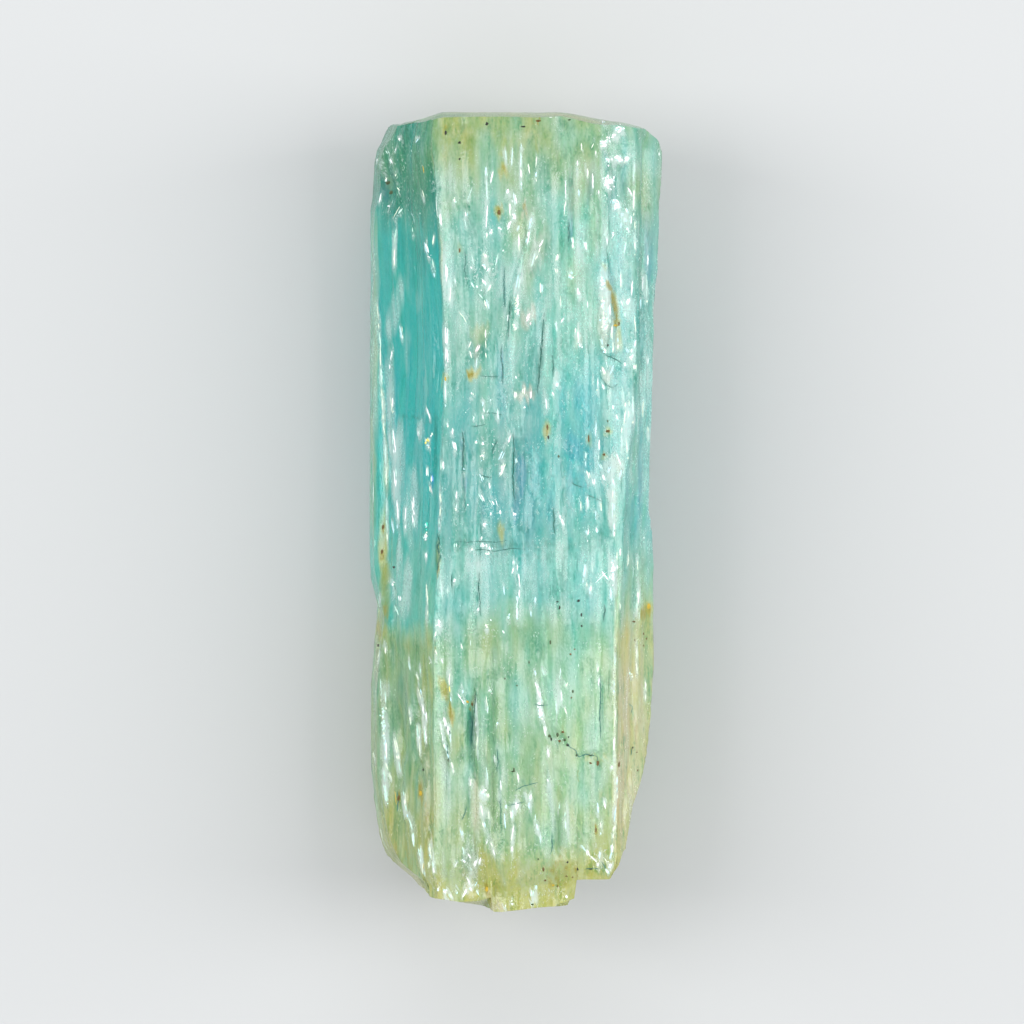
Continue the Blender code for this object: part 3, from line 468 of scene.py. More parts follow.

# Crisp marks on the skin: column, row, half length and full width in pixels, lean, and a tint if not white
# Many are painted highlights: glints on frosted spots, the bright lines along the left face's second edge
# near
# column 390 and along the right edge near column 613, and the marks on the crests of the ridges. The yellow,
# pink,
# violet and green ones near column 430 are painted coloured glints. The others are edges of healed cracks
STROKES = (
    (400, 141, 2, 2.2, 0.3), (418, 143, 2.5, 2, -0.5), (388, 153, 3, 2.5, 0.5), (391, 162, 4, 2.6, 0.5),
    (386, 180, 3.5, 4.5, 0), (380, 198, 6, 2.2, -0.3), (389, 207, 2, 2.5, 0),
    (397, 213, 7, 1.6, -0.5, "cream"), (401, 212, 3, 1.6, -0.9), (381, 165, 4, 1.5, 0.6, "cream"),
    (396, 151, 2, 2, 0), (377, 159, 2, 2, 0), (424, 172, 4, 1.8, 0.2, "gold"),
    (396, 176, 2, 1.8, 0, "cream"), (399, 190, 2, 1.6, 0.8, "cream"), (424, 196, 4, 1.5, 0.2, "cream"),
    (413, 231, 2.5, 1.5, 0), (395, 248, 22, 1, -0.05, "cream"), (427, 250, 7, 2.4, 0.25),
    (430, 258, 2, 4.5, 0), (434, 270, 9, 1.6, 0.1, "mint"), (434, 242, 6, 1.2, -0.1, "mint"),
    (402, 333, 9, 2.6, 0.1, "cream"), (379, 325, 22, 1.3, 0.08, "cream"),
    (381, 365, 20, 1.2, 0.05, "cream"), (383, 412, 26, 1.4, 0.06, "cream"),
    (386, 465, 26, 1.3, 0.03, "cream"), (387, 520, 24, 1.2, 0.02, "cream"), (391, 360, 9, 2, -0.15),
    (392, 405, 10, 3, 0.1), (394, 441, 17, 3.6, 0.06), (396, 478, 12, 2.6, 0), (398, 514, 14, 2.2, 0),
    (406, 518, 12, 1.8, 0), (414, 512, 18, 2.8, 0.02), (393, 527, 8, 2.2, 0.1, "cream"),
    (429, 414, 7, 1.5, 0.3), (419, 434, 4, 3, 0), (432, 435, 2, 2.2, 0), (428, 441, 4, 4, -0.4, "yellow"),
    (429, 447, 3, 3.6, 0.2, "pink"), (428, 472, 5, 2.6, 0), (433, 479, 5, 2.8, 0.1, "violet"),
    (431, 489, 4, 3, 0.2, "pink"), (427, 525, 4, 4, 0, "green"), (426, 537, 4, 4.2, 0), (427, 555, 3, 2, 0),
    (428, 600, 17, 1.7, 0.02, "cream"), (400, 598, 4, 2.6, 0.2), (397, 610, 6, 1.8, 0.4, "mint"),
    (393, 584, 3, 4, -0.4), (447, 348, 24, 2.8, 0.02), (446, 397, 12, 1.6, 0), (440, 525, 9, 2.2, 0),
    (441, 505, 14, 1, 0, "cream"), (442, 588, 12, 1.4, 0.08), (439, 623, 5, 4.5, 0),
    (436, 633, 4, 1.8, -0.3, "cream"), (443, 660, 3, 2, 0.3), (462, 645, 4, 2, 0.3, "cream"),
    (487, 205, 34, 1.2, 0), (492, 180, 8, 2, -0.1), (486, 175, 6, 1.2, 0.1, "cream"),
    (470, 197, 9, 1.8, -0.3, "cream"), (467, 217, 3, 3, 0), (466, 226, 6, 1.6, 0.3),
    (455, 203, 3, 3.2, 0, "cream"), (508, 194, 3, 4.5, 0), (515, 202, 8, 2.4, 0.2),
    (510, 212, 7, 2.4, 0, "cream"), (514, 220, 6, 4, 0), (509, 228, 5, 2.5, -0.5), (500, 231, 3, 3.5, 0.5),
    (491, 235, 3, 3.5, -0.3), (518, 232, 5, 2, -0.3), (506, 160, 8, 1.4, 0, "mint"),
    (512, 160, 9, 1.4, 0, "mint"), (521, 170, 18, 1.4, 0, "cream"), (519, 245, 12, 1.2, 0),
    (473, 262, 7, 1.2, 0.1, "cream"), (497, 262, 8, 1.6, -0.2, "cream"), (485, 258, 3, 3, 0.5, "cream"),
    (484, 268, 3, 4, 0.4), (489, 272, 3, 2.8, -0.6), (485, 286, 4, 4, 0.4), (489, 290, 4, 2.6, -0.5),
    (481, 298, 3, 2, 1), (487, 306, 6, 3.2, 0.3, "cream"), (473, 287, 3, 2.5, 0.6), (456, 283, 3, 2, 0.3),
    (451, 296, 9, 2, 0), (447, 275, 9, 2.4, 0.05), (441, 222, 7, 2.6, 0.05), (463, 318, 4, 2, 0.8, "cream"),
    (466, 322, 3, 2, 0.6, "cream"), (470, 346, 5, 2, -0.4, "cream"), (478, 350, 5, 2.6, -0.4, "pink"),
    (471, 356, 4, 1.8, 0.3, "cream"), (477, 364, 5, 1.6, 0, "cream"), (486, 345, 16, 1, 0.02, "cream"),
    (472, 395, 2, 2.4, 0), (483, 405, 3, 1.8, 0), (484, 411, 2.5, 2.2, 0.4), (488, 412, 2.5, 2.2, -0.4),
    (491, 401, 2, 2, 0), (483, 418, 2.5, 2, 0), (474, 419, 2, 2, 0, "mint"), (498, 415, 7, 1, 0, "mint"),
    (453, 432, 4, 2, 0), (448, 426, 2, 2.4, 0), (477, 443, 2, 4, 0, "cream"), (483, 444, 2, 4, 0),
    (483, 457, 5, 4, -0.2, "cream"), (455, 447, 6, 3, 0.2), (443, 466, 6, 3.6, 0),
    (502, 456, 7, 3.4, -0.4, "ice"), (502, 470, 8, 3.8, -0.3, "cream"), (509, 441, 6, 2.8, -0.2, "pink"),
    (516, 461, 4, 2.6, 0), (464, 469, 1.5, 2.2, 0, "ice"), (482, 478, 5, 3, 0.4, "ice"),
    (490, 486, 4, 2, 0.2), (482, 498, 5, 3.2, 0.5), (492, 503, 4, 3.2, 0.5), (497, 503, 4, 1.8, 0.4),
    (485, 525, 5, 4, -0.3), (514, 514, 1.5, 7, 0), (456, 509, 2.5, 3.4, 0, "cream"), (457, 500, 10, 1.2, 0),
    (484, 545, 2, 8, 0), (490, 548, 1.6, 6, 0), (488, 553, 1.5, 7, 0, "cream"),
    (472, 549, 1.5, 4, 0, "cream"), (456, 545, 3, 3, 0, "mint"), (514, 562, 3, 2.8, 0),
    (518, 571, 7, 2, 0.1), (513, 570, 4, 1.8, -0.4), (519, 585, 12, 2.2, 0), (517, 607, 12, 3, 0, "ice"),
    (509, 615, 3, 3.4, 0, "ice"), (504, 590, 5, 1.8, 0, "ice"), (455, 580, 3, 3.4, 0),
    (448, 590, 4, 1.6, 0, "mint"), (478, 609, 2, 4, 0), (487, 625, 2.5, 2.8, 0, "cream"),
    (562, 522, 6, 2.8, 0.3), (587, 532, 4, 3.6, 0), (596, 530, 3, 3, 0), (584, 573, 10, 3, -0.1, "ice"),
    (590, 590, 7, 3.2, 0, "cream"), (586, 585, 5, 1.6, 0), (592, 568, 6, 2, 0, "ice"),
    (535, 600, 4, 1.8, 0, "ice"), (531, 613, 4, 1.8, 0, "ice"), (560, 518, 4, 1.6, 0.2),
    (580, 506, 5, 2, 0), (587, 504, 6, 2.4, 0.1), (600, 507, 5, 2, 0), (595, 515, 5, 1.4, 0, "ice"),
    (600, 577, 5, 1.2, -1), (604, 575, 5, 1.2, 0.8), (612, 570, 18, 4, 0), (616, 560, 12, 2, 0),
    (610, 595, 10, 2.4, 0, "ice"), (612, 510, 10, 3.6, 0, "cream"), (613, 530, 8, 2.6, 0),
    (619, 552, 5, 1.4, 0, "cream"), (627, 560, 8, 1.8, 0, "cream"), (637, 565, 6, 1.6, 0, "mint"),
    (637, 600, 14, 2.4, -0.08, "cream"), (619, 605, 4, 1.6, 0, "cream"), (602, 147, 4, 8, 0),
    (608, 144, 3, 4, 0), (619, 132, 4, 9, -0.4), (613, 139, 3, 4.5, -0.6), (618, 162, 4, 13, 0),
    (626, 161, 3, 7, 0), (607, 163, 4, 4, 0.2), (607, 186, 9, 9.5, 0), (612, 184, 5, 4, 0),
    (616, 207, 5, 8, 0), (612, 204, 3, 5, 0, "ice"), (626, 213, 4, 2.6, 0.5), (624, 222, 4, 3, 0),
    (630, 222, 5, 2.4, 0), (627, 232, 4, 4, 0), (621, 217, 3, 2.4, 0, "ice"), (620, 228, 3, 2, 0, "ice"),
    (612, 237, 3, 3.6, 0), (605, 234, 5, 2.2, -0.3), (606, 243, 5, 1.8, 0), (624, 250, 9, 1.3, -0.1),
    (633, 175, 9, 1.6, 0), (633, 205, 14, 1.2, 0, "cream"), (634, 240, 18, 1.1, 0, "cream"),
    (629, 194, 5, 1.6, 0.6), (603, 125, 2, 3, 0), (607, 142, 2, 3, 0), (592, 149, 3, 1.8, -0.3, "cream"),
    (595, 156, 2.5, 2.2, 0, "cream"), (577, 168, 6, 1.6, 0), (587, 176, 6, 1.4, 0.1), (592, 184, 9, 1.4, 0),
    (598, 195, 3, 1.8, 0), (565, 196, 14, 1.2, 0), (564, 212, 8, 1.6, 0), (578, 196, 4, 1.6, 0, "ice"),
    (536, 165, 7, 1.8, 0, "cream"), (536, 180, 6, 2, 0, "cream"), (529, 172, 5, 1.6, 0.1, "cream"),
    (521, 150, 5, 1.8, 0, "cream"), (521, 188, 4, 1.8, 0, "cream"), (581, 150, 4, 1.4, 0, "cream"),
    (530, 226, 8, 2.2, -0.15), (528, 240, 9, 2.6, -0.25), (521, 268, 9, 2, -0.2), (518, 285, 10, 3.4, -0.2),
    (517, 304, 8, 5, -0.1, "cream"), (538, 256, 8, 1.8, -0.4, "cream"), (533, 262, 9, 1.6, -0.3, "cream"),
    (541, 246, 4, 1.8, -0.6), (557, 260, 5, 2.6, -0.3, "cream"), (556, 273, 4, 2.8, 0.3, "cream"),
    (585, 248, 5, 3.2, 0.2), (572, 245, 6, 2.4, 0.1), (570, 278, 4, 4, 0, "ice"), (578, 295, 4, 4, 0),
    (541, 290, 6, 3, 0.1, "mint"), (518, 313, 5, 4, 0.1), (515, 328, 3.5, 4, 0, "cream"),
    (528, 320, 5, 5, 0, "pink"), (560, 303, 6, 2, 0), (556, 328, 6, 2.2, 0.1), (562, 322, 4, 2.2, -0.4),
    (578, 338, 6, 3.2, 0, "pink"), (580, 347, 3, 4, 0.4), (575, 332, 4, 2, 0, "cream"),
    (524, 392, 4, 3.6, 0, "cream"), (531, 396, 5, 2.6, 0.1, "pink"), (515, 396, 4, 3.2, 0, "cream"),
    (524, 408, 1.6, 2.8, 0), (557, 385, 4, 4, 0), (546, 405, 6, 1.8, 0.1), (553, 395, 3, 2, 0.5),
    (597, 385, 7, 2, -0.1), (592, 384, 4, 2, 0), (602, 285, 9, 4.6, 0), (602, 305, 9, 4.2, 0, "cream"),
    (604, 325, 12, 7, 0, "cream"), (608, 316, 12, 3, 0), (611, 334, 9, 2.4, 0, "cream"),
    (601, 343, 5, 3, 0.3, "cream"), (604, 352, 4, 4, 0.5, "cream"), (612, 349, 7, 2, 0, "gold"),
    (617, 345, 7, 1.8, 0, "cream"), (622, 305, 5, 3, 0.4), (627, 303, 4, 3, -0.4),
    (631, 290, 9, 1.8, -0.05), (624, 316, 4, 2.6, 0, "ice"), (634, 325, 8, 1.8, 0, "cream"),
    (620, 282, 8, 1.6, 0), (634, 345, 5, 2.4, -0.2), (626, 352, 4, 3, 0.3, "ice"), (631, 358, 4, 4, 0),
    (624, 366, 3, 4, 0), (634, 368, 4, 3, 0, "cream"), (606, 366, 4, 2, 0.3),
    (603, 372, 5, 2.6, 0.3, "cream"), (611, 371, 5, 2, -0.3), (602, 388, 4, 2.2, 0.3), (608, 393, 4, 3, 0),
    (622, 395, 8, 2, 0.1, "cream"), (628, 405, 14, 1.8, -0.02, "cream"),
    (624, 415, 14, 1.6, -0.05, "cream"), (632, 410, 16, 1.2, 0, "cream"), (621, 440, 12, 2, 0, "cream"),
    (626, 450, 10, 1.4, 0.1, "cream"), (616, 418, 4, 1.8, 0.3), (618, 460, 6, 2, 0.4),
    (598, 450, 12, 1.2, -0.05), (595, 430, 10, 1, 0, "ice"), (600, 467, 4, 3, 0.6, "cream"),
    (608, 470, 4, 2.6, -0.4, "ice"), (603, 478, 4, 3, 0.3), (612, 482, 5, 3, 0.3),
    (619, 475, 5, 1.8, -0.3, "ice"), (588, 475, 5, 3, 0.3, "cream"), (593, 482, 4, 3, 0),
    (613, 494, 6, 3, 0, "cream"), (585, 460, 8, 1.2, 0, "ice"), (587, 500, 5, 1.4, 0),
    (646, 290, 14, 2.2, 0.03, "ice"), (647, 262, 8, 1.8, -0.1), (642, 285, 10, 1.2, 0),
    (640, 305, 7, 1.8, 0), (648, 433, 7, 3.4, 0, "cream"), (647, 362, 4, 1.6, 0),
    (653, 300, 18, 1, -0.02, "cream"), (651, 460, 20, 1, 0, "cream"), (642, 410, 10, 1, 0, "cream"),
    (384, 725, 24, 4, 0.05, "mint"), (386, 750, 12, 2.6, 0, "cream"), (381, 690, 12, 1.6, 0, "mint"),
    (386, 700, 12, 2, 0.05, "mint"), (397, 748, 13, 2.8, 0.15, "cream"), (400, 766, 8, 2.2, 0.1, "mint"),
    (385, 783, 13, 2.6, 0.08, "mint"), (388, 768, 6, 1.6, 0.3, "cream"), (387, 797, 7, 3.4, 0.1, "mint"),
    (411, 717, 10, 2, 0.12, "cream"), (421, 693, 9, 3, 0.15, "cream"), (424, 708, 8, 2.6, 0.2),
    (427, 715, 5, 2.2, 0), (426, 733, 9, 2.4, 0.05), (419, 730, 9, 2.6, 0),
    (420, 746, 11, 2, 0.15, "cream"), (405, 797, 10, 2.4, 0.12, "cream"), (407, 810, 6, 1.6, 0.2, "mint"),
    (396, 797, 7, 1.4, 0, "gold"), (411, 822, 7, 2, 0.3, "mint"), (414, 838, 8, 2.6, 0.1, "mint"),
    (421, 852, 10, 2.6, 0.12, "cream"), (424, 866, 7, 2.8, 0.1, "gold"), (431, 850, 9, 2.4, 0.15, "ice"),
    (434, 864, 7, 1.8, 0.15), (430, 862, 4, 1.6, 0), (384, 846, 7, 1.6, 0.1, "cream"),
    (381, 835, 6, 1.4, 0.15, "cream"), (374, 756, 4, 1.8, 0.2, "cream"), (391, 776, 4, 1.4, 0.3, "cream"),
    (378, 657, 5, 1, -0.2, "cream"), (386, 650, 4, 1.4, 0, "cream"), (418, 676, 4, 1.8, 0.4, "cream"),
    (410, 665, 5, 1.4, 0.1, "mint"), (421, 670, 4, 1.4, 0, "mint"), (431, 661, 2, 2.6, -0.6, "cream"),
    (437, 651, 4, 1.4, 0.3, "cream"), (443, 733, 14, 1.8, 0.18), (447, 748, 8, 1.6, 0.3),
    (449, 728, 6, 2.6, 0.2), (446, 720, 7, 2.6, 0.25), (451, 738, 8, 1.4, 0.1, "cream"),
    (453, 765, 6, 1.6, 0.2, "cream"), (450, 678, 9, 1.8, 0, "cream"), (451, 692, 8, 2.2, 0.1, "yellow"),
    (460, 695, 4, 2.2, 0.6), (464, 700, 4, 2.6, 0.5), (463, 690, 2.5, 2, 0), (476, 715, 16, 1.5, 0.05),
    (477, 745, 12, 1.2, 0.03, "cream"), (487, 700, 7, 1.6, 0.1, "cream"), (491, 690, 2, 3.4, 0),
    (488, 708, 4, 1.4, 0, "cream"), (497, 722, 2, 3.6, 0), (495, 757, 5, 1.8, 0.1), (487, 772, 8, 1.6, 0.1),
    (483, 789, 4, 6, 0), (488, 793, 3, 3, 0, "cream"), (482, 808, 7, 2.2, 0.2, "cream"),
    (489, 812, 7, 1.8, 0.1, "cream"), (484, 822, 4, 3, 0.3, "cream"), (471, 780, 4, 1.4, 0, "cream"),
    (501, 783, 6, 2, 0.1), (506, 804, 3, 2.4, 0, "mint"), (493, 846, 7, 2.2, 0.3), (487, 840, 5, 1.8, -0.3),
    (462, 830, 4, 3, 0.2), (464, 848, 5, 1.6, 0.2), (470, 853, 3, 1.6, 0.6), (476, 860, 5, 2.4, -0.4),
    (464, 858, 3, 3.4, 0), (456, 862, 4, 2, -0.4), (471, 866, 3, 2, 0.5), (480, 858, 4, 1.8, -0.3),
    (469, 878, 4, 2, 0.4), (476, 882, 4, 2.2, -0.5, "cream"), (471, 886, 3, 2.6, 0.4),
    (465, 890, 5, 2.4, -0.5), (446, 888, 3, 3.6, 0), (451, 893, 3, 2.4, 0.6, "cream"),
    (458, 889, 2, 2.4, 0.8, "cream"), (439, 886, 2, 2.4, 0, "cream"), (447, 896, 3, 2, 0.6),
    (478, 890, 3, 2, 0.5), (538, 689, 10, 3, 0.25), (541, 712, 9, 5, 0.2), (545, 729, 8, 2.4, 0.2),
    (548, 751, 6, 1.8, 0.2), (540, 700, 3, 4.6, 0), (561, 695, 7, 2, 0.05), (560, 672, 7, 1.4, 0, "mint"),
    (556, 705, 10, 1.6, 0, "mint"), (535, 672, 4, 1.4, 0, "cream"), (543, 671, 4, 1.6, 0.2, "mint"),
    (566, 683, 3, 1.8, -0.4, "mint"), (565, 709, 4, 1.6, 0.3, "cream"), (598, 680, 5, 2, 0),
    (597, 668, 4, 1.4, 0, "mint"), (613, 684, 5, 1.6, 0), (612, 690, 2, 3, 0, "cream"),
    (614, 660, 5, 1.2, 0, "cream"), (614, 715, 12, 1, 0, "cream"), (613, 745, 14, 1, 0, "cream"),
    (616, 785, 12, 1.4, 0.02, "cream"), (614, 815, 14, 1, -0.02, "cream"), (611, 765, 2, 3, 0),
    (611, 845, 5, 2.4, 0, "cream"), (612, 830, 6, 1.4, 0, "cream"), (604, 802, 5, 2, 0.2),
    (597, 805, 6, 1.4, 0, "cream"), (600, 825, 9, 1.2, 0, "mint"), (565, 818, 10, 1.6, 0.05, "mint"),
    (559, 805, 5, 1.4, 0, "mint"), (530, 795, 4, 4, 0), (529, 803, 4, 3.6, 0, "ice"), (517, 803, 4, 5, 0),
    (512, 812, 6, 3, 0, "ice"), (513, 830, 9, 2.2, -0.1), (512, 846, 4, 3, 0), (540, 836, 5, 2, 0),
    (537, 824, 5, 3.2, 0.2), (535, 815, 4, 1.6, 0, "mint"), (518, 775, 6, 1.8, 0.1, "cream"),
    (505, 818, 8, 1.2, 0, "mint"), (583, 845, 4, 1.8, 0.8), (587, 850, 4, 2.6, 0.3), (593, 856, 4, 1.4, 1),
    (599, 853, 5, 2.2, 0), (597, 861, 3, 2.4, 0), (609, 863, 4, 5, 0), (606, 868, 3, 3, 0.6, "cream"),
    (610, 852, 4, 1.8, -0.3), (605, 857, 3, 1.6, 0.5, "cream"), (532, 890, 4, 3.4, -0.3, "mint"),
    (536, 884, 3, 2.4, 0, "cream"), (512, 900, 2, 3.4, 0, "cream"), (505, 903, 2, 3, 0, "cream"),
    (531, 902, 2, 3, 0, "cream"), (630, 673, 3, 3.4, 0.5, "cream"), (645, 690, 12, 1, 0, "cream"),
    (636, 660, 14, 1, 0, "cream"),
)

# Open cracks, drawn as dark ribbons of painted shade: pixels along the crack, then its width in pixels
CRACKS = (
    (((438, 533), (440, 541), (438, 547), (441, 556), (438, 566), (439, 573)), 1.6),
    (((463, 432), (464, 445), (463, 462), (463, 471)), 1.7),
    (((513, 432), (514, 450), (513, 475), (514, 500)), 1.2),
    (((505, 268), (504, 285), (505, 310)), 1.0),
    (((465, 252), (466, 262), (465, 272), (467, 283)), 0.9),
    (((502, 346), (501, 358), (503, 372), (502, 386)), 1.2),
    (((510, 303), (509, 322), (508, 342)), 1.1),
    (((544, 314), (542, 338), (541, 352), (539, 378), (537, 396)), 1.3),
    (((552, 356), (553, 368), (552, 378)), 1.5),
    (((497, 441), (494, 448), (492, 455)), 1.4),
    (((480, 475), (486, 477), (493, 478)), 1.5),
    (((480, 377), (490, 378), (500, 378)), 0.9),
    (((396, 421), (408, 422), (420, 420), (438, 422)), 0.7),
    (((470, 427), (478, 427), (486, 425)), 0.9),
    (((484, 414), (494, 414), (503, 416)), 0.9),
    (((568, 222), (569, 234), (568, 245)), 1.2),
    (((570, 482), (576, 486), (584, 488)), 1.0),
    (((586, 495), (594, 498), (602, 502)), 1.1),
    (((600, 378), (605, 386), (612, 389), (618, 384)), 1.0),
    (((599, 351), (606, 357), (614, 360), (621, 365)), 1.0),
    (((553, 508), (554, 518), (553, 526), (555, 534)), 1.4),
    (((480, 571), (479, 585), (480, 600), (481, 616)), 1.0),
    (((453, 573), (452, 580), (453, 588)), 1.2),
    (((455, 541), (468, 542), (482, 541), (496, 542), (508, 540)), 0.8),
    (((470, 550), (482, 549), (495, 551), (512, 548), (526, 549)), 1.0),
    (((603, 603), (604, 609), (603, 615), (603, 621)), 1.5),
    (((448, 742), (448, 750), (450, 760)), 1.2),
    (((445, 722), (450, 730), (451, 738)), 1.0),
    (((470, 712), (473, 722), (471, 735), (472, 742)), 1.6),
    (((477, 690), (475, 706), (474, 716)), 0.9),
    (((534, 702), (540, 704), (549, 703)), 0.9),
    (((566, 739), (569, 745), (575, 748), (578, 755), (585, 752), (596, 754), (599, 765)), 1.1),
    (((599, 671), (600, 690), (599, 712), (600, 738)), 1.1),
    (((514, 789), (522, 784), (530, 782), (538, 780)), 0.9),
    (((507, 803), (516, 801), (526, 799)), 0.9),
    (((500, 796), (501, 808), (500, 822)), 0.9),
    (((551, 832), (552, 843), (550, 852)), 1.1),
    (((462, 818), (465, 812), (467, 803)), 1.0),
    (((600, 858), (604, 864), (606, 869)), 1.0),
    (((584, 866), (592, 865), (599, 866)), 1.0),
    (((497, 745), (498, 757), (497, 770)), 1.0),
    (((398, 790), (399, 800), (398, 811)), 1.3),
    (((631, 746), (630, 754)), 0.9),
    (((628, 702), (632, 706), (631, 712)), 0.8),
)

# Grains: column, row, half width and half length in pixels, tint
SPECKS = (
    (446, 136, 1.3, 2, "black"), (460, 146, 1.8, 1.3, "black"), (487, 127, 1.6, 2, "black"),
    (523, 130, 2, 1, "black"), (538, 124, 2.4, 1.5, "brown"), (569, 123, 2, 0.8, "moss"),
    (460, 162, 0.9, 1.2, "black"), (460, 253, 0.9, 2.2, "brown"), (499, 215, 2.2, 2.8, "brown"),
    (607, 347, 1.2, 1.3, "black"), (607, 432, 2.6, 1.8, "brown"), (603, 455, 1.4, 1.4, "brown"),
    (607, 422, 1, 1.2, "moss"), (547, 428, 1, 3, "brown"), (548, 438, 1, 2.4, "black"),
    (588, 440, 0.9, 4, "brown"), (558, 457, 1.2, 1.4, "moss"), (394, 567, 1.4, 1.3, "black"),
    (383, 527, 1.2, 2.6, "brown"), (382, 551, 1.3, 2.6, "brown"), (557, 601, 1.6, 1.1, "black"),
    (559, 607, 1, 2.6, "black"), (578, 600, 1.9, 1.2, "black"), (581, 614, 0.9, 2, "black"),
    (581, 625, 1.2, 1, "black"), (550, 641, 1, 2, "moss"), (574, 648, 1.2, 0.9, "brown"),
    (570, 653, 1.2, 1, "brown"), (378, 646, 1, 1.8, "black"), (633, 621, 1.6, 0.9, "brown"),
    (643, 633, 0.8, 1.6, "brown"), (646, 638, 0.8, 1.6, "brown"), (634, 639, 0.8, 1, "brown"),
    (643, 645, 0.7, 1.2, "brown"), (648, 606, 2, 2.8, "gold"), (549, 734, 1.8, 2, "moss"),
    (551, 737, 1, 2.6, "black"), (557, 733, 1.6, 2.2, "moss"), (562, 730, 1.6, 1.3, "brown"),
    (564, 738, 1.8, 1.6, "moss"), (567, 743, 1.6, 1.6, "black"), (559, 739, 1.4, 1.4, "brown"),
    (568, 735, 1, 1, "black"), (576, 753, 1.2, 1.6, "moss"), (590, 753, 2.4, 0.9, "moss"),
    (597, 761, 1.3, 3.2, "brown"), (590, 761, 1.6, 0.9, "brown"), (618, 762, 0.9, 2.8, "brown"),
    (636, 751, 1.1, 0.9, "brown"), (637, 769, 0.9, 1.2, "brown"), (632, 746, 1, 1.2, "black"),
    (513, 769, 2.6, 0.9, "moss"), (514, 767, 0.9, 2, "moss"), (424, 768, 1, 1.4, "black"),
    (421, 792, 1.8, 3, "gold"), (399, 797, 1.4, 3.4, "brown"), (595, 827, 0.9, 3.4, "brown"),
    (567, 859, 1.2, 1, "black"), (543, 866, 1.3, 2.6, "brown"), (577, 866, 0.9, 1.6, "black"),
    (566, 873, 1.2, 0.9, "brown"), (572, 874, 1, 0.8, "brown"), (545, 877, 1, 1.2, "brown"),
    (553, 882, 1.6, 1.2, "gold"), (557, 883, 1, 0.9, "brown"), (576, 877, 1.2, 1.4, "moss"),
    (538, 856, 1, 1, "moss"), (590, 866, 3, 0.9, "moss"), (487, 886, 2, 3, "gold"),
    (532, 901, 2, 1, "moss"), (473, 703, 2, 1.8, "brown"), (468, 700, 1.6, 1.4, "gold"),
    (505, 677, 1, 1.4, "moss"), (517, 684, 0.8, 0.9, "moss"), (572, 690, 1, 1.8, "moss"),
    (571, 696, 0.9, 1, "brown"), (529, 661, 0.7, 2, "moss"), (615, 327, 2.4, 1.6, "gold"),
    (618, 325, 1, 2.2, "brown"), (446, 380, 1.4, 2.2, "gold"), (388, 183, 2.4, 2, "moss"),
    (391, 193, 2, 2.4, "moss"), (449, 758, 1, 2.2, "moss"), (499, 214, 1, 1, "gold"),
)

# The crack tint is the painted shade inside the open cracks
TINTS = {
    "white": (255, 255, 255), "cream": (240, 250, 226), "mint": (206, 244, 226), "ice": (206, 244, 252),
    "pink": (252, 226, 226), "violet": (92, 150, 230), "green": (70, 232, 196), "yellow": (240, 226, 110),
    "mist": (196, 228, 216), "crack": (34, 96, 86), "gold": (188, 156, 34), "brown": (96, 70, 20),
    "black": (26, 26, 18), "moss": (62, 78, 46),
}
# Tints that by chance take the place of a stroke's own, strokes without a milky halo, and grains that stain
SOFT_TINTS = ("mint", "mist", "ice", "cream")
DARK_TINTS = ("gold", "violet", "green")
RUSTY_TINTS = ("brown", "gold")

# Halos: how strong they are, the least half width of a pale one and the reach of a stain, in pixels.
# The dark halos are painted shade along the cracks; round painted highlights the pale ones are painted
# highlight too
PALE_HALO = 0.75
STAINED_HALO = 0.5
DARK_HALO = 0.5
PALE_HALF_WIDTH = 2.0
STAIN_REACH = 3.0

# Torn edges of the patches: how far they are torn, the tears' width and length in pixels, and the seed
TEAR_ACROSS = (2.0, 3.0, 14.0, 91)
TEAR_ALONG = (14.0, 2.5, 30.0, 92)

# The colours of the crystal's settings that its material mixes
COLOUR_NAMES = ("aqua", "teal", "blue", "straw", "rose", "milk_and_highlight", "rust", "shade")

# Fine lines and grain of the material: width and length in millimetres, and shift
LINES = (0.13, 1.3, 23.0)
GRAIN = (0.10, 0.18, 5.0)

# How far the lines and the grain change the tone, and how far the deep and the straw zones calm that
LINE_TONE = 0.7
GRAIN_TONE = 0.6
DEEP_CALM = 0.58
STRAW_CALM = 0.25

# From which tone on the crystal darkens and lightens, and how fast
DARK_FROM = 0.5
DARK_GAIN = 2.6
LIGHT_FROM = 0.52
LIGHT_GAIN = 1.5

# Milky white and painted highlights: from which value on each cause shows, how fast, how much of it, and how
# much less in the blue. The dashes are partly painted highlights on the sides of the growth lines, the crumbs
# painted glints
MILK_FROM = 0.10
LIGHT_MILK = 0.35
TONE_MILK = 1.2
LEAST_MILK = 0.25
DASH_FROM = 0.60
DASH_GAIN = 9.0
DASH_WHITE = 0.5
CRUMB_FROM = 0.56
CRUMB_GAIN = 8.0
CRUMB_GLINT = 0.8
BLUE_CLEAR = 0.55

# How much of the pinkish and the rusty tint there is at most, and from which value on rust shows, how fast
ROSE_SHARE = 0.7
RUST_SHARE = 0.8
RUST_FROM = 0.2
RUST_GAIN = 1.4

# Roughness of the clear crystal, and what milk and grain add to it. Relief of the grain, in millimetres
CLEAR_ROUGHNESS = 0.10
MILK_ROUGHNESS = 0.25
GRAIN_ROUGHNESS = 0.16
GRAIN_STRENGTH = 0.6
GRAIN_RELIEF = 0.03

# Grain of the marks: how fine it is, from which value down it darkens them, how fast, and its tint
MARK_GRAIN_SCALE = 7000.0
MARK_DARK_FROM = 0.55
MARK_DARK_GAIN = 1.6
MARK_DARK_TINT = (0.62, 0.74, 0.72, 1.0)
MARK_GRAIN_ROUGHNESS = 0.3
FLAKE_ROUGHNESS = 0.25

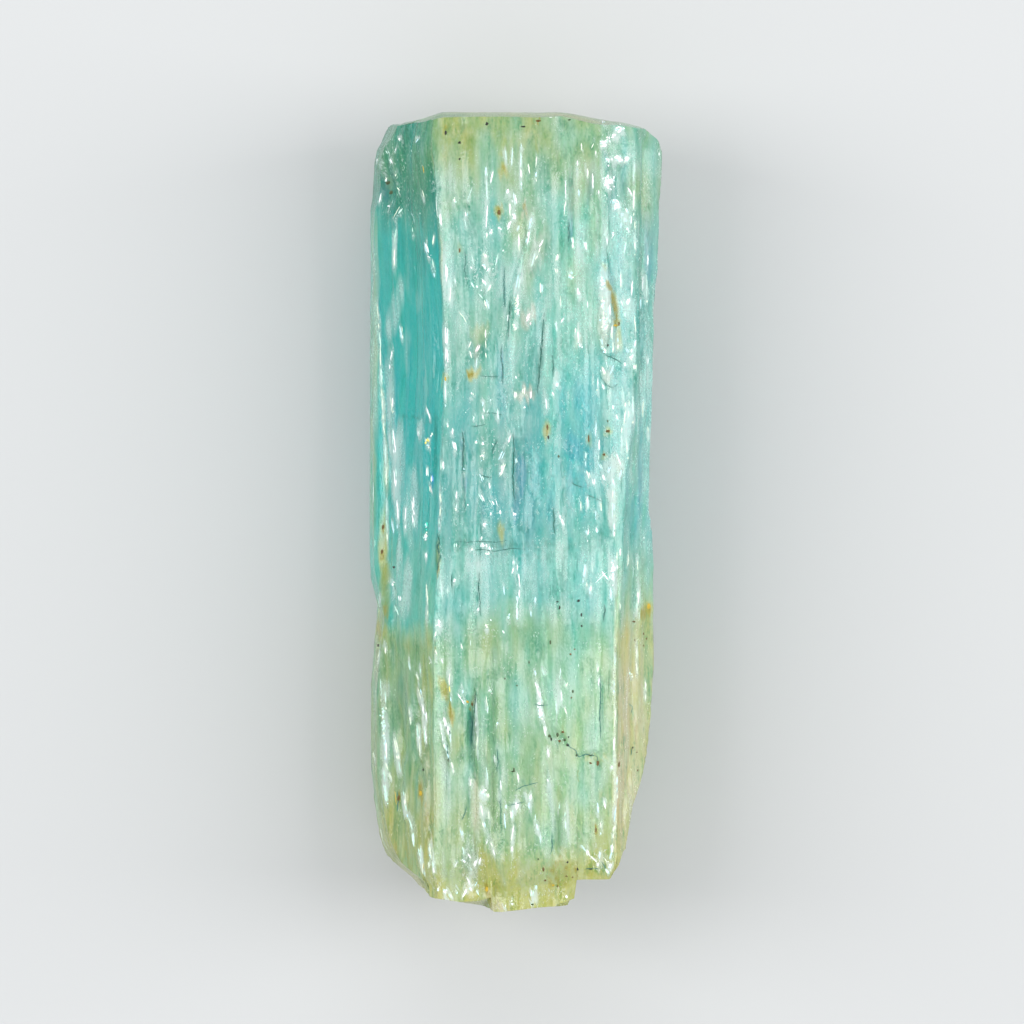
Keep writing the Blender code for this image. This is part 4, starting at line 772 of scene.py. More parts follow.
# In pixels: the sections of a mark, the strands' width and spacing, the widest bundle, and a strand's run
STROKE_STEP = 2.0
STRAND_WIDTH = 1.25
STRAND_GAP = 1.5
WIDEST_BUNDLE = 4.0
STRAND_RUN = (5.0, 26.0)
# Share of a crack's width that stands open
CRACK_WIDTH = 0.9
# Crumbs, which are painted glints, in a frosted spot, for its half length times its width
CRUMBS = 0.75
GRAIN_CORNERS = 7
# How far marks lie above the skin, and how far one may fall from end to end, in millimetres
MARK_LIFT = 0.006
MARK_FALL = 1.2
# The needles' own random numbers start this far from the other flakes' ones
NEEDLE_SEED = 40

# The stage, in metres: each light's name, place, width and length, and share of the key power
LIGHTS = (
    ("left_light", (-0.30, 0.04, 0.30), (0.16, 0.40), 1.0),
    ("right_light", (0.30, 0.02, 0.26), (0.16, 0.40), 1.0),
    ("head_light", (0.0, 0.42, 0.34), (0.40, 0.16), 0.5),
)
LIGHT_TARGET = (0.0, 0.0, 0.006)
SKY_COLOUR = (0.92, 0.96, 1.0, 1.0)
FLOOR_ROUGHNESS = 0.8
SENSOR_WIDTH = 36.0
NEAREST = 0.01
# Height of the crystal's outline above the floor, which the photograph's scale holds for
OUTLINE_HEIGHT = 7.0 * MM


def photo_x(column):
    """Where a pixel column of the photograph lies across the crystal."""
    return (column - PHOTO_AXIS_COLUMN) * PHOTO_SCALE


def photo_y(row):
    """Where a pixel row of the photograph lies along the crystal."""
    return (PHOTO_AXIS_ROW - row) * PHOTO_SCALE


def photo_place(points):
    """Pixel column and row of places on the crystal, and from 0 to 1 whether the photograph shows them."""
    column = points[..., 0] / PHOTO_SCALE + PHOTO_AXIS_COLUMN
    row = PHOTO_AXIS_ROW - points[..., 1] / PHOTO_SCALE
    low, high = SEEN_HEIGHT
    return column, row, smooth((points[..., 2] - low) / (high - low))


def smooth(share):
    """Ease from 0 to 1."""
    share = np.clip(share, 0.0, 1.0)
    return share * share * (3.0 - 2.0 * share)


def scatter(cells, seed):
    """Random numbers from 0 to 1 that belong to cells, given as whole numbers along the last axis."""
    primes = np.array([374761393, 668265263, 2147483647])
    mixed = ((cells * primes[: cells.shape[-1]]).sum(axis=-1) + seed * 1442695041) & 0xFFFFFFFF
    mixed = ((mixed ^ (mixed >> 13)) * 1274126177) & 0xFFFFFFFF
    return ((mixed ^ (mixed >> 16)) & 0xFFFFFF) / float(0xFFFFFF)


def drift(places, seed):
    """Soft random values from 0 to 1 that change over a distance of about one, in two or three dimensions."""
    low = np.floor(places).astype(np.int64)
    share = smooth(places - low)
    axes = places.shape[-1]
    total = np.zeros(places.shape[:-1])
    for corner in range(2 ** axes):
        step = np.array([corner >> axis & 1 for axis in range(axes)])
        weight = np.where(step, share, 1.0 - share).prod(axis=-1)
        total += weight * scatter(low + step, seed)
    return total


def clouds(points, layers, seed):
    """Several sizes of drift laid over each other, with zero in the middle, each with its own weight."""
    total = np.zeros(points.shape[:-1])
    for index, (size, weight) in enumerate(layers):
        large = drift(points / size, seed + index)
        small = drift(2.1 * points / size, seed + index + 50)
        total += weight * 2.0 * (0.65 * large + 0.35 * small - 0.5)
    return total


def crumple(points):
    """Thin wandering ridges, from 0 to 1, like the folds of crumpled foil, in three sizes."""
    warp = np.stack([drift(points / CRUMPLE_BEND, seed) - 0.5 for seed in CRUMPLE_BEND_SEEDS], axis=-1)
    total = np.zeros(points.shape[:-1])
    for size, bend, weight, seed in CRUMPLES:
        value = drift(points / size + bend * warp, seed)
        ridge = np.clip(1.0 - CRUMPLE_SHARPNESS * np.abs(value - 0.5), 0.0, 1.0)
        total = np.maximum(total, weight * ridge)
    return total


def packed_skin():
    """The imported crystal's surface as a tree for rays, in millimetres, from a merged copy of its mesh."""
    copy = bmesh.new()
    copy.from_mesh(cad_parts[NODE].data)
    bmesh.ops.transform(copy, matrix=Matrix.Scale(1.0 / MM, 4), verts=copy.verts[:])
    bmesh.ops.remove_doubles(copy, verts=copy.verts[:], dist=MERGE_DISTANCE)
    tree = BVHTree.FromBMesh(copy)
    copy.free()
    return tree


def radial(angle):
    """The direction out of the axis at an angle from +X towards +Z."""
    return Vector((math.cos(angle), 0.0, math.sin(angle)))


def cast_out(tree, y, direction):
    """Where a ray from the axis leaves the crystal: place and normal."""
    place, normal, _, _ = tree.ray_cast(Vector((0.0, y, AXIS_Z)), direction)
    if place is None:
        raise RuntimeError(f"no skin over the axis at y = {y:.2f} mm")
    return place, normal


def cast_fan(tree, outward, end, lift):
    """Where a ray that fans out from one end of the core leaves the crystal."""
    direction = outward * math.cos(lift) + Vector((0.0, end * math.sin(lift), 0.0))
    return cast_out(tree, end * CORE_HALF, direction)


def find_rim(tree, outward, end):
    """The last place on a column's side, before it turns over onto the end."""
    low = FAN_START
    high = math.pi / 2
    for step in range(1, FAN_STEPS + 1):
        lift = FAN_START + (math.pi / 2 - FAN_START) * step / FAN_STEPS
        if cast_fan(tree, outward, end, lift)[1].y * end > RIM_TURN:
            high = lift
            break
        low = lift
    for _ in range(RIM_STEPS):
        middle = (low + high) / 2
        if cast_fan(tree, outward, end, middle)[1].y * end > RIM_TURN:
            high = middle
        else:
            low = middle
    return cast_fan(tree, outward, end, low)[0]


def cast_side(tree, outward, y, radius):
    """Where a column crosses y, if its last crossing was this far from the axis."""
    if abs(y) <= CORE_HALF:
        return cast_out(tree, y, outward)
    end = math.copysign(1.0, y)
    return cast_fan(tree, outward, end, math.atan2(abs(y) - CORE_HALF, radius))


def column_angles(tree, skin):
    """Angles of the mesh's columns round the axis, and how far round the skin each one is."""
    fine = np.linspace(-math.pi / 2, 1.5 * math.pi, ANGLE_STEPS)
    hits = [cast_out(tree, 0.0, radial(angle)) for angle in fine]
    places = np.array([place for place, _ in hits])
    seen = np.array([normal.z > SEEN_TURN for _, normal in hits])
    steps = np.linalg.norm(np.diff(places, axis=0), axis=1)
    spacing = np.where(seen[1:], skin.seen_spacing, skin.hidden_spacing) / MM
    count = np.concatenate(([0.0], np.cumsum(steps / spacing)))
    around = np.concatenate(([0.0], np.cumsum(steps)))
    wanted = np.arange(int(count[-1]))
    return np.interp(wanted, count, fine), np.interp(wanted, count, around)


def read_sides(tree, angles, rows):
    """Places and normals of the sides, as arrays of rows by columns."""
    places = np.empty((rows, len(angles), 3))
    normals = np.empty((rows, len(angles), 3))
    for column, angle in enumerate(angles):
        outward = radial(angle)
        first = find_rim(tree, outward, -1.0)
        last = find_rim(tree, outward, 1.0)
        radius = math.hypot(first.x, first.z - AXIS_Z)
        for row, y in enumerate(np.linspace(first.y, last.y, rows)):
            place, normal = cast_side(tree, outward, y, radius)
            radius = math.hypot(place.x, place.z - AXIS_Z)
            places[row, column] = place
            normals[row, column] = normal
        places[0, column] = first
        places[-1, column] = last
    return places, normals


def read_end(tree, rim, end, rings):
    """Places of one end, as rings that shrink from the rim to the axis, and the place on the axis."""
    places = np.empty((rings, len(rim), 3))
    ahead = Vector((0.0, end, 0.0))
    for ring in range(rings):
        share = 1.0 - ((ring + 1) / (rings + 1)) ** RING_SPREAD
        for column, (x, y, z) in enumerate(rim):
            start = Vector((x * share, end * CORE_HALF, AXIS_Z + (z - AXIS_Z) * share))
            place = tree.ray_cast(start, ahead)[0]
            places[ring, column] = place if place is not None else (start.x, y, start.z)
    return places, cast_out(tree, end * CORE_HALF, ahead)[0]


def growth_lines(around, y, skin):
    """Depth of the growth lines, from 0 to 1: flat-topped ridges with crisp sides, along the crystal."""
    depth = np.zeros_like(y)
    for width, run, sharpness, share, seed in GROWTH_LINES:
        value = drift(np.stack((around / width, y / run + 37.0 * seed), axis=-1), skin.seed + seed)
        depth += share * np.clip((value - 0.5) * sharpness + 0.5, 0.0, 1.0)
    return depth


def etch_pits(around, y, skin):
    """Depth of the etch pits, from 0 to 1: small long hollows, some alone and some in rows."""
    rng = np.random.default_rng(skin.seed)
    depth = np.zeros_like(y)
    girth = around.max()
    for _ in range(skin.pits):
        middle = rng.uniform(0.0, girth)
        half = rng.uniform(*PIT_HALF_WIDTH)
        run = half * rng.uniform(*PIT_STRETCH)
        centre = rng.uniform(-PIT_REACH, PIT_REACH)
        columns = np.abs(around[0] - middle) < half
        away = np.hypot((around[:, columns] - middle) / half, (y[:, columns] - centre) / run)
        depth[:, columns] = np.maximum(depth[:, columns], smooth(1.6 - 1.6 * away) * rng.uniform(*PIT_DEPTH))
    return depth


def strokes():
    """The crisp marks, each with its tint."""
    return [(*stroke, "white")[:6] for stroke in STROKES]


def pale_halos():
    """Soft milky patches round the pale marks; round the marks that are painted highlights, they are painted
    highlight too.
    """
    return [
        (column, row, max(PALE_HALF_WIDTH, 0.8 * width), 1.3 * half_length, lean, PALE_HALO)
        for column, row, half_length, width, lean, tint in strokes() if tint not in DARK_TINTS
    ]


def stained_halos():
    """Soft yellow patches round the brown and golden grains."""
    return [
        (column, row, STAIN_REACH + half_width, STAIN_REACH + half_length, 0.0, STAINED_HALO)
        for column, row, half_width, half_length, tint in SPECKS if tint in RUSTY_TINTS
    ]


def dark_halos():
    """Soft patches of painted shade along the cracks, one for each stretch of a crack."""
    patches = []
    for path, width in CRACKS:
        for (first_column, first_row), (last_column, last_row) in zip(path, path[1:]):
            middle = ((first_column + last_column) / 2, (first_row + last_row) / 2)
            across = last_column - first_column
            along = last_row - first_row
            if abs(along) < abs(across):
                patches.append((*middle, abs(across) / 2 + 1.0, 2.0, 0.0, DARK_HALO))
            else:
                patches.append((*middle, width + 0.8, abs(along) / 2 + 1.0, across / along, DARK_HALO))
    return patches


def stations(rows, amounts):
    """Read (photo row, amount) stations at many rows."""
    return np.interp(rows, [row for row, _ in amounts], [amount for _, amount in amounts])


def tear(column, row, reach, across, along, seed):
    """How far each pixel's place is moved, so that the patches get torn edges."""
    return reach * (drift(np.stack((column / across, row / along), axis=-1), seed) - 0.5)


def add_patches(column, row, seen, patches):
    """Lay soft patches over each other. Their edges are torn along the crystal."""
    amount = np.zeros_like(column)
    column = column + tear(column, row, *TEAR_ACROSS)
    row = row + tear(column, row, *TEAR_ALONG)
    for centre_column, centre_row, half_width, half_length, lean, strength in patches:
        across = column - centre_column - lean * (row - centre_row)
        away = np.hypot(across / half_width, (row - centre_row) / half_length)
        amount = np.maximum(amount, strength * smooth(1.4 - away))
    return amount * seen


class Surface:
    """Places on the skin, and what the masks need to know about each of them."""

    def __init__(self, points, on_end):
        """The second argument is one for places on the crystal's ends and zero for the others."""
        self.column, self.row, self.seen = photo_place(points)
        below, below_run = WORN_BELOW
        above, above_run = WORN_ABOVE
        worn = np.maximum(smooth((self.row - below) / below_run), smooth((above - self.row) / above_run))
        left_blend = EDGE_BLEND + WORN_BLEND * worn + END_BLEND * on_end
        right_blend = EDGE_BLEND + END_BLEND * on_end
        self.left = smooth((stations(self.row, LEFT_EDGE) - self.column) / left_blend + 0.5)
        self.right = smooth((self.column - stations(self.row, RIGHT_EDGE)) / right_blend + 0.5)
        self.points = points * (1.0 - END_CALM * on_end[..., None] * (1.0, 0.0, 1.0))
        waves = WAVE_ROWS * clouds(self.points, WAVES, WAVE_SEED)
        self.wavy_row = self.row + waves - LEFT_SLANT * self.left * (self.column - LEFT_MIDDLE)
        self.halos = {"milk_and_highlight": pale_halos(), "straw": stained_halos(), "shade": dark_halos()}

    def mask(self, name):
        """How much of one quality there is at each place, from 0 to 1."""
        amount = np.zeros_like(self.column)
        if name in ZONES:
            on_left, on_front, on_right = (stations(self.wavy_row, amounts) for amounts in ZONES[name])
            front = (1.0 - self.left) * (1.0 - self.right)
            amount = on_left * self.left + on_right * self.right + on_front * front
        patches = (*PATCHES.get(name, ()), *self.halos.get(name, ()))
        amount = np.maximum(amount, add_patches(self.column, self.row, self.seen, patches))
        torn = clouds(self.points, CLOUDS[name], 100 * QUALITIES.index(name))
        return np.clip(amount + torn * np.minimum(1.0, 3.0 * amount), 0.0, 1.0)

    def folds(self, crumpled):
        """How high the fine folds stand at each place, from 0 to 1, where a mask lets them."""
        return crumple(self.points) * crumpled

    def masks(self):
        """All the masks that the material and the scattered flakes read."""
        masks = {name: self.mask(name) for name in QUALITIES}
        crumpled = masks.pop("crumple")
        folds = self.folds(crumpled)
        masks["tone"] = 0.5 + 0.5 * clouds(self.points, TONE_CLOUDS, TONE_SEED)
        # Painted highlight: the folds' crests are lightened and whitened
        masks["tone"] += FOLD_HIGHLIGHT * (folds - FOLD_MEAN * crumpled)
        masks["milk_and_highlight"] = np.clip(masks["milk_and_highlight"] + FOLD_HIGHLIGHT_WHITE * folds, 0.0, 1.0)
        return masks


def named_relief(points):
    """Height of the ridges, grooves and steps that the photograph shows, in millimetres."""
    column, row, seen = photo_place(points)
    height = np.zeros_like(column)
    for centre_column, centre_row, half_width, half_length, lean, lift in RIDGES:
        along = (row - centre_row) / half_length
        half = half_width * np.sqrt(np.clip(1.0 - along * along, 0.001, 1.0))
        away = np.abs(column - centre_column - lean * (row - centre_row)) / half
        height += lift * np.clip(1.0 - away, 0.0, 1.0) * (np.abs(along) < 1.0)
    for (first_column, first_row), (last_column, last_row), side, lift, fade in STEPS:
        share = (row - first_row) / (last_row - first_row)
        away = (column - first_column - (last_column - first_column) * share) * side
        ends = smooth(5.0 * np.minimum(share, 1.0 - share))
        height += lift * ends * np.where(away > 0.0, np.exp(-np.maximum(away, 0.0) / fade), 0.0)
    return height * seen


def grid_faces(rings):
    """Faces between rings of vertices that close on themselves."""
    faces = []
    for low, high in zip(rings, rings[1:]):
        after_low = np.roll(low, -1)
        after_high = np.roll(high, -1)
        faces.extend(np.stack((low, high, after_high, after_low), axis=1).tolist())
    return faces


def end_fade(y):
    """From 1 to 0 before either end."""
    return smooth((RELIEF_END - np.abs(y)) / RELIEF_FADE)


def skin_mesh(skin):
    """The crystal's fine skin, with what the material needs to know about each place on it."""
    tree = packed_skin()
    angles, around = column_angles(tree, skin)
    places, normals = read_sides(tree, angles, skin.rows)
    outward = np.stack((np.cos(angles), np.zeros_like(angles), np.sin(angles)), axis=1)
    around = np.broadcast_to(around, places.shape[:2])
    facing = np.clip((normals * outward).sum(axis=2), STEEPEST, 1.0)
    off_rest = smooth((places[:, :, 2] - REST_CLEAR) / REST_FADE)
    depth = growth_lines(around, places[:, :, 1], skin) * skin.stria_depth
    depth = depth + etch_pits(around, places[:, :, 1], skin) * skin.pit_depth
    sides = Surface(places, np.zeros(places.shape[:2]))
    relief = named_relief(places) + FOLD_HEIGHT * sides.folds(sides.mask("crumple"))
    depth = depth / MM - relief * end_fade(places[:, :, 1])
    places = places - outward * (depth * off_rest / facing)[:, :, None]
    broken, broken_pole = read_end(tree, places[0], -1.0, skin.cap_rings)
    etched, etched_pole = read_end(tree, places[-1], 1.0, skin.cap_rings)
    layers = np.concatenate((broken[::-1], places, etched))
    count = len(angles)
    rings = [np.arange(count) + count * row for row in range(len(layers))]
    faces = grid_faces(rings)
    low_pole = count * len(layers)
    faces.extend([int(a), int(b), low_pole] for a, b in zip(rings[0], np.roll(rings[0], -1)))
    faces.extend([int(b), int(a), low_pole + 1] for a, b in zip(rings[-1], np.roll(rings[-1], -1)))
    points = np.concatenate((layers.reshape(-1, 3), [broken_pole, etched_pole]))
    on_end = np.ones(len(points))
    on_end[len(broken) * count:(len(broken) + len(places)) * count] = 0.0
    mesh = bpy.data.meshes.new("crystal_skin")
    mesh.from_pydata((points * MM).tolist(), [], faces)
    mesh.shade_smooth()
    mesh.set_sharp_from_angle(angle=SHARP_ANGLE)
    for name, amount in Surface(points, on_end).masks().items():
        mesh.attributes.new(name, "FLOAT", "POINT").data.foreach_set("value", amount.astype(np.float32))
    return mesh


def add_node(tree, kind, inputs=None, **settings):
    """A node with its settings, and its inputs given as values or as sockets to link from."""
    node = tree.nodes.new(kind)
    for name, value in settings.items():
        setattr(node, name, value)
    for name, value in (inputs or {}).items():
        if isinstance(value, bpy.types.NodeSocket):
            tree.links.new(value, node.inputs[name])
        else:
            node.inputs[name].default_value = value
    return node


def maths(tree, operation, first, second=0.0, third=0.0, clamp=False):
    """The result of one sum on values or sockets."""
    inputs = {0: first, 1: second, 2: third}
    return add_node(tree, "ShaderNodeMath", inputs, operation=operation, use_clamp=clamp).outputs[0]


def mix_colour(tree, share, first, second, blend="MIX"):
    """A colour between two colours, or their product where the share is one and the blend is MULTIPLY."""
    inputs = {0: share, 6: first, 7: second}
    return add_node(tree, "ShaderNodeMix", inputs, data_type="RGBA", blend_type=blend).outputs[2]


def new_group(name, inputs, outputs):
    """An empty shader node group with float inputs, given with their defaults, and float outputs."""
    group = bpy.data.node_groups.new(name, "ShaderNodeTree")
    for label, default in inputs.items():
        socket = group.interface.new_socket(label, in_out="INPUT", socket_type="NodeSocketFloat")
        socket.default_value = default
    for label in outputs:
        group.interface.new_socket(label, in_out="OUTPUT", socket_type="NodeSocketFloat")
    return group, group.nodes.new("NodeGroupInput"), group.nodes.new("NodeGroupOutput")


def streak_group():
    """Streaks along the crystal, from 0 to 1. Width and Length are in millimetres."""
    inputs = {"Width": 0.2, "Length": 2.0, "Shift": 0.0}
    group, given, result = new_group("crystal_streaks", inputs, ("Value",))
    place = add_node(group, "ShaderNodeTexCoord").outputs["Object"]
    across = maths(group, "DIVIDE", 1.0 / MM, given.outputs["Width"])
    along = maths(group, "DIVIDE", 1.0 / MM, given.outputs["Length"])
    scale = add_node(group, "ShaderNodeCombineXYZ", {"X": across, "Y": along, "Z": across}).outputs[0]
    stretched = add_node(group, "ShaderNodeVectorMath", {0: place, 1: scale}, operation="MULTIPLY").outputs[0]
    moved = {0: stretched, 1: given.outputs["Shift"]}
    moved = add_node(group, "ShaderNodeVectorMath", moved, operation="ADD").outputs[0]
    noise = add_node(group, "ShaderNodeTexNoise", {"Vector": moved, "Scale": 1.0, "Detail": 1.5}).outputs[0]
    group.links.new(noise, result.inputs["Value"])
    return group


def streaks(tree, group, width, length, shift):
    """The value of the streak group placed in a material."""
    inputs = {"Width": width, "Length": length, "Shift": shift}
    return add_node(tree, "ShaderNodeGroup", inputs, node_tree=group).outputs["Value"]


def offset(tree, value, start, gain):
    """From 0 to 1, how far a value is past a start. A gain below zero counts downwards."""
    return maths(tree, "MULTIPLY", maths(tree, "SUBTRACT", value, start), gain, clamp=True)


def new_material(name):
    """A new material, its node tree and its shader."""
    material = bpy.data.materials.new(name)
    material.use_nodes = True
    return material, material.node_tree, material.node_tree.nodes["Principled BSDF"]


def crystal_tone(tree, masks, line, grain):
    """How light the crystal is, with one half in the middle, from its mask, its fine lines and its grain."""
    tone = maths(tree, "MULTIPLY_ADD", maths(tree, "SUBTRACT", line, 0.5), LINE_TONE, masks["tone"])
    tone = maths(tree, "MULTIPLY_ADD", maths(tree, "SUBTRACT", grain, 0.5), GRAIN_TONE, tone)
    calm = maths(tree, "MULTIPLY_ADD", masks["deep"], -DEEP_CALM, 1.0)
    calm = maths(tree, "MULTIPLY_ADD", masks["straw"], -STRAW_CALM, calm)
    return maths(tree, "MULTIPLY_ADD", maths(tree, "SUBTRACT", tone, 0.5), calm, 0.5)


def crystal_white(tree, masks, tone, line, grain):
    """How white the crystal is: its milky healed veils and the painted highlights on folds and ridges, its
    white dashes, which are partly painted highlights, and its frosted crumbs, which are painted glints.
    """
    light = maths(tree, "MULTIPLY", offset(tree, tone, LIGHT_FROM, LIGHT_GAIN), LIGHT_MILK)
    milk_and_highlight = maths(tree, "ADD", light, offset(tree, masks["milk_and_highlight"], MILK_FROM, 1.0), clamp=True)
    milk_and_highlight = maths(tree, "MULTIPLY", milk_and_highlight, maths(tree, "MULTIPLY_ADD", tone, TONE_MILK, LEAST_MILK, clamp=True))
    dashes = maths(tree, "MULTIPLY", offset(tree, line, DASH_FROM, DASH_GAIN), masks["dash"])
    crumbs = maths(tree, "MULTIPLY", offset(tree, grain, CRUMB_FROM, CRUMB_GAIN), masks["frost_and_glints"])
    white = maths(tree, "MAXIMUM", milk_and_highlight, maths(tree, "MULTIPLY", dashes, DASH_WHITE))
    white = maths(tree, "MAXIMUM", white, maths(tree, "MULTIPLY", crumbs, CRUMB_GLINT))
    return maths(tree, "MULTIPLY", white, maths(tree, "MULTIPLY_ADD", masks["blue"], -BLUE_CLEAR, 1.0))


def crystal_material(colours):
    """Beryl, from deep and clear to milky, with its zones read from the skin's own masks."""
    material, tree, shader = new_material("beryl")
    group = streak_group()
    masks = {
        name: add_node(tree, "ShaderNodeAttribute", attribute_name=name).outputs["Fac"]
        for name in ("tone", *QUALITIES) if name != "crumple"
    }
    tint = {name: (*getattr(colours, name), 1.0) for name in COLOUR_NAMES}
    line = streaks(tree, group, *LINES)
    grain = streaks(tree, group, *GRAIN)
    tone = crystal_tone(tree, masks, line, grain)
    white = crystal_white(tree, masks, tone, line, grain)
    dark = offset(tree, tone, DARK_FROM, -DARK_GAIN)
    rust = maths(tree, "ADD", maths(tree, "SUBTRACT", grain, 0.5), masks["rust"])
    rust = maths(tree, "MULTIPLY", offset(tree, rust, RUST_FROM, RUST_GAIN), RUST_SHARE)
    base = mix_colour(tree, masks["deep"], tint["aqua"], tint["teal"])
    base = mix_colour(tree, masks["blue"], base, tint["blue"])
    base = mix_colour(tree, masks["straw"], base, tint["straw"])
    base = mix_colour(tree, maths(tree, "MULTIPLY", masks["rose"], ROSE_SHARE), base, tint["rose"])
    base = mix_colour(tree, masks["shade"], base, tint["shade"], "MULTIPLY")
    base = mix_colour(tree, dark, base, tint["shade"], "MULTIPLY")
    base = mix_colour(tree, white, base, tint["milk_and_highlight"])
    base = mix_colour(tree, rust, base, tint["rust"])
    tree.links.new(base, shader.inputs["Base Color"])
    rough = maths(tree, "MULTIPLY_ADD", white, MILK_ROUGHNESS, CLEAR_ROUGHNESS)
    rough = maths(tree, "MULTIPLY_ADD", grain, GRAIN_ROUGHNESS, rough)
    tree.links.new(rough, shader.inputs["Roughness"])
    relief = {"Height": grain, "Strength": GRAIN_STRENGTH, "Distance": GRAIN_RELIEF * MM}
    tree.links.new(add_node(tree, "ShaderNodeBump", relief).outputs[0], shader.inputs["Normal"])
    shader.inputs["IOR"].default_value = colours.ior
    shader.inputs["Specular IOR Level"].default_value = colours.sheen
    shader.inputs["Transmission Weight"].default_value = colours.clearness
    volume = tree.nodes.new("ShaderNodeVolumeAbsorption")
    volume.inputs["Color"].default_value = (*colours.teal, 1.0)
    volume.inputs["Density"].default_value = colours.absorption
    tree.links.new(volume.outputs["Volume"], tree.nodes["Material Output"].inputs["Volume"])
    return material


def mark_material(name, gloss):
    """Opaque frosted crystal with painted glints, the painted shade of cracks, or grains, whose colour is the
    piece's own tint, broken up by fine grain.
    """
    material, tree, shader = new_material(name)
    tint = add_node(tree, "ShaderNodeAttribute", attribute_name="tint").outputs["Color"]
    place = add_node(tree, "ShaderNodeTexCoord").outputs["Object"]
    noise = {"Vector": place, "Scale": MARK_GRAIN_SCALE, "Detail": 2.0}
    grain = add_node(tree, "ShaderNodeTexNoise", noise).outputs[0]
    dark = offset(tree, grain, MARK_DARK_FROM, -MARK_DARK_GAIN)
    shade = mix_colour(tree, dark, tint, MARK_DARK_TINT, "MULTIPLY")
    tree.links.new(shade, shader.inputs["Base Color"])
    rough = maths(tree, "MULTIPLY_ADD", grain, MARK_GRAIN_ROUGHNESS, gloss)
    tree.links.new(rough, shader.inputs["Roughness"])
    return material


def set_piece(context, name, mesh):
    """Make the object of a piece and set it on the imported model."""
    piece = bpy.data.objects.new(name, mesh)
    context.collection.objects.link(piece)
    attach(piece, BODY)
    return piece


def seen_tree():
    """The laid skin as a tree for rays, in millimetres."""
    mesh = bpy.data.objects["crystal_skin"].data
    points = [vertex.co / MM for vertex in mesh.vertices]
    return BVHTree.FromPolygons(points, [tuple(face.vertices) for face in mesh.polygons])


def on_skin(tree, column, row, lift):
    """The place on the seen skin under a pixel, lifted off it, or None beside the crystal."""
    start = Vector((photo_x(column), photo_y(row), 2.0 * AXIS_Z + 5.0))
    place, normal, _, _ = tree.ray_cast(start, Vector((0.0, 0.0, -1.0)))
    if place is None:
        return None
    return place + normal * lift


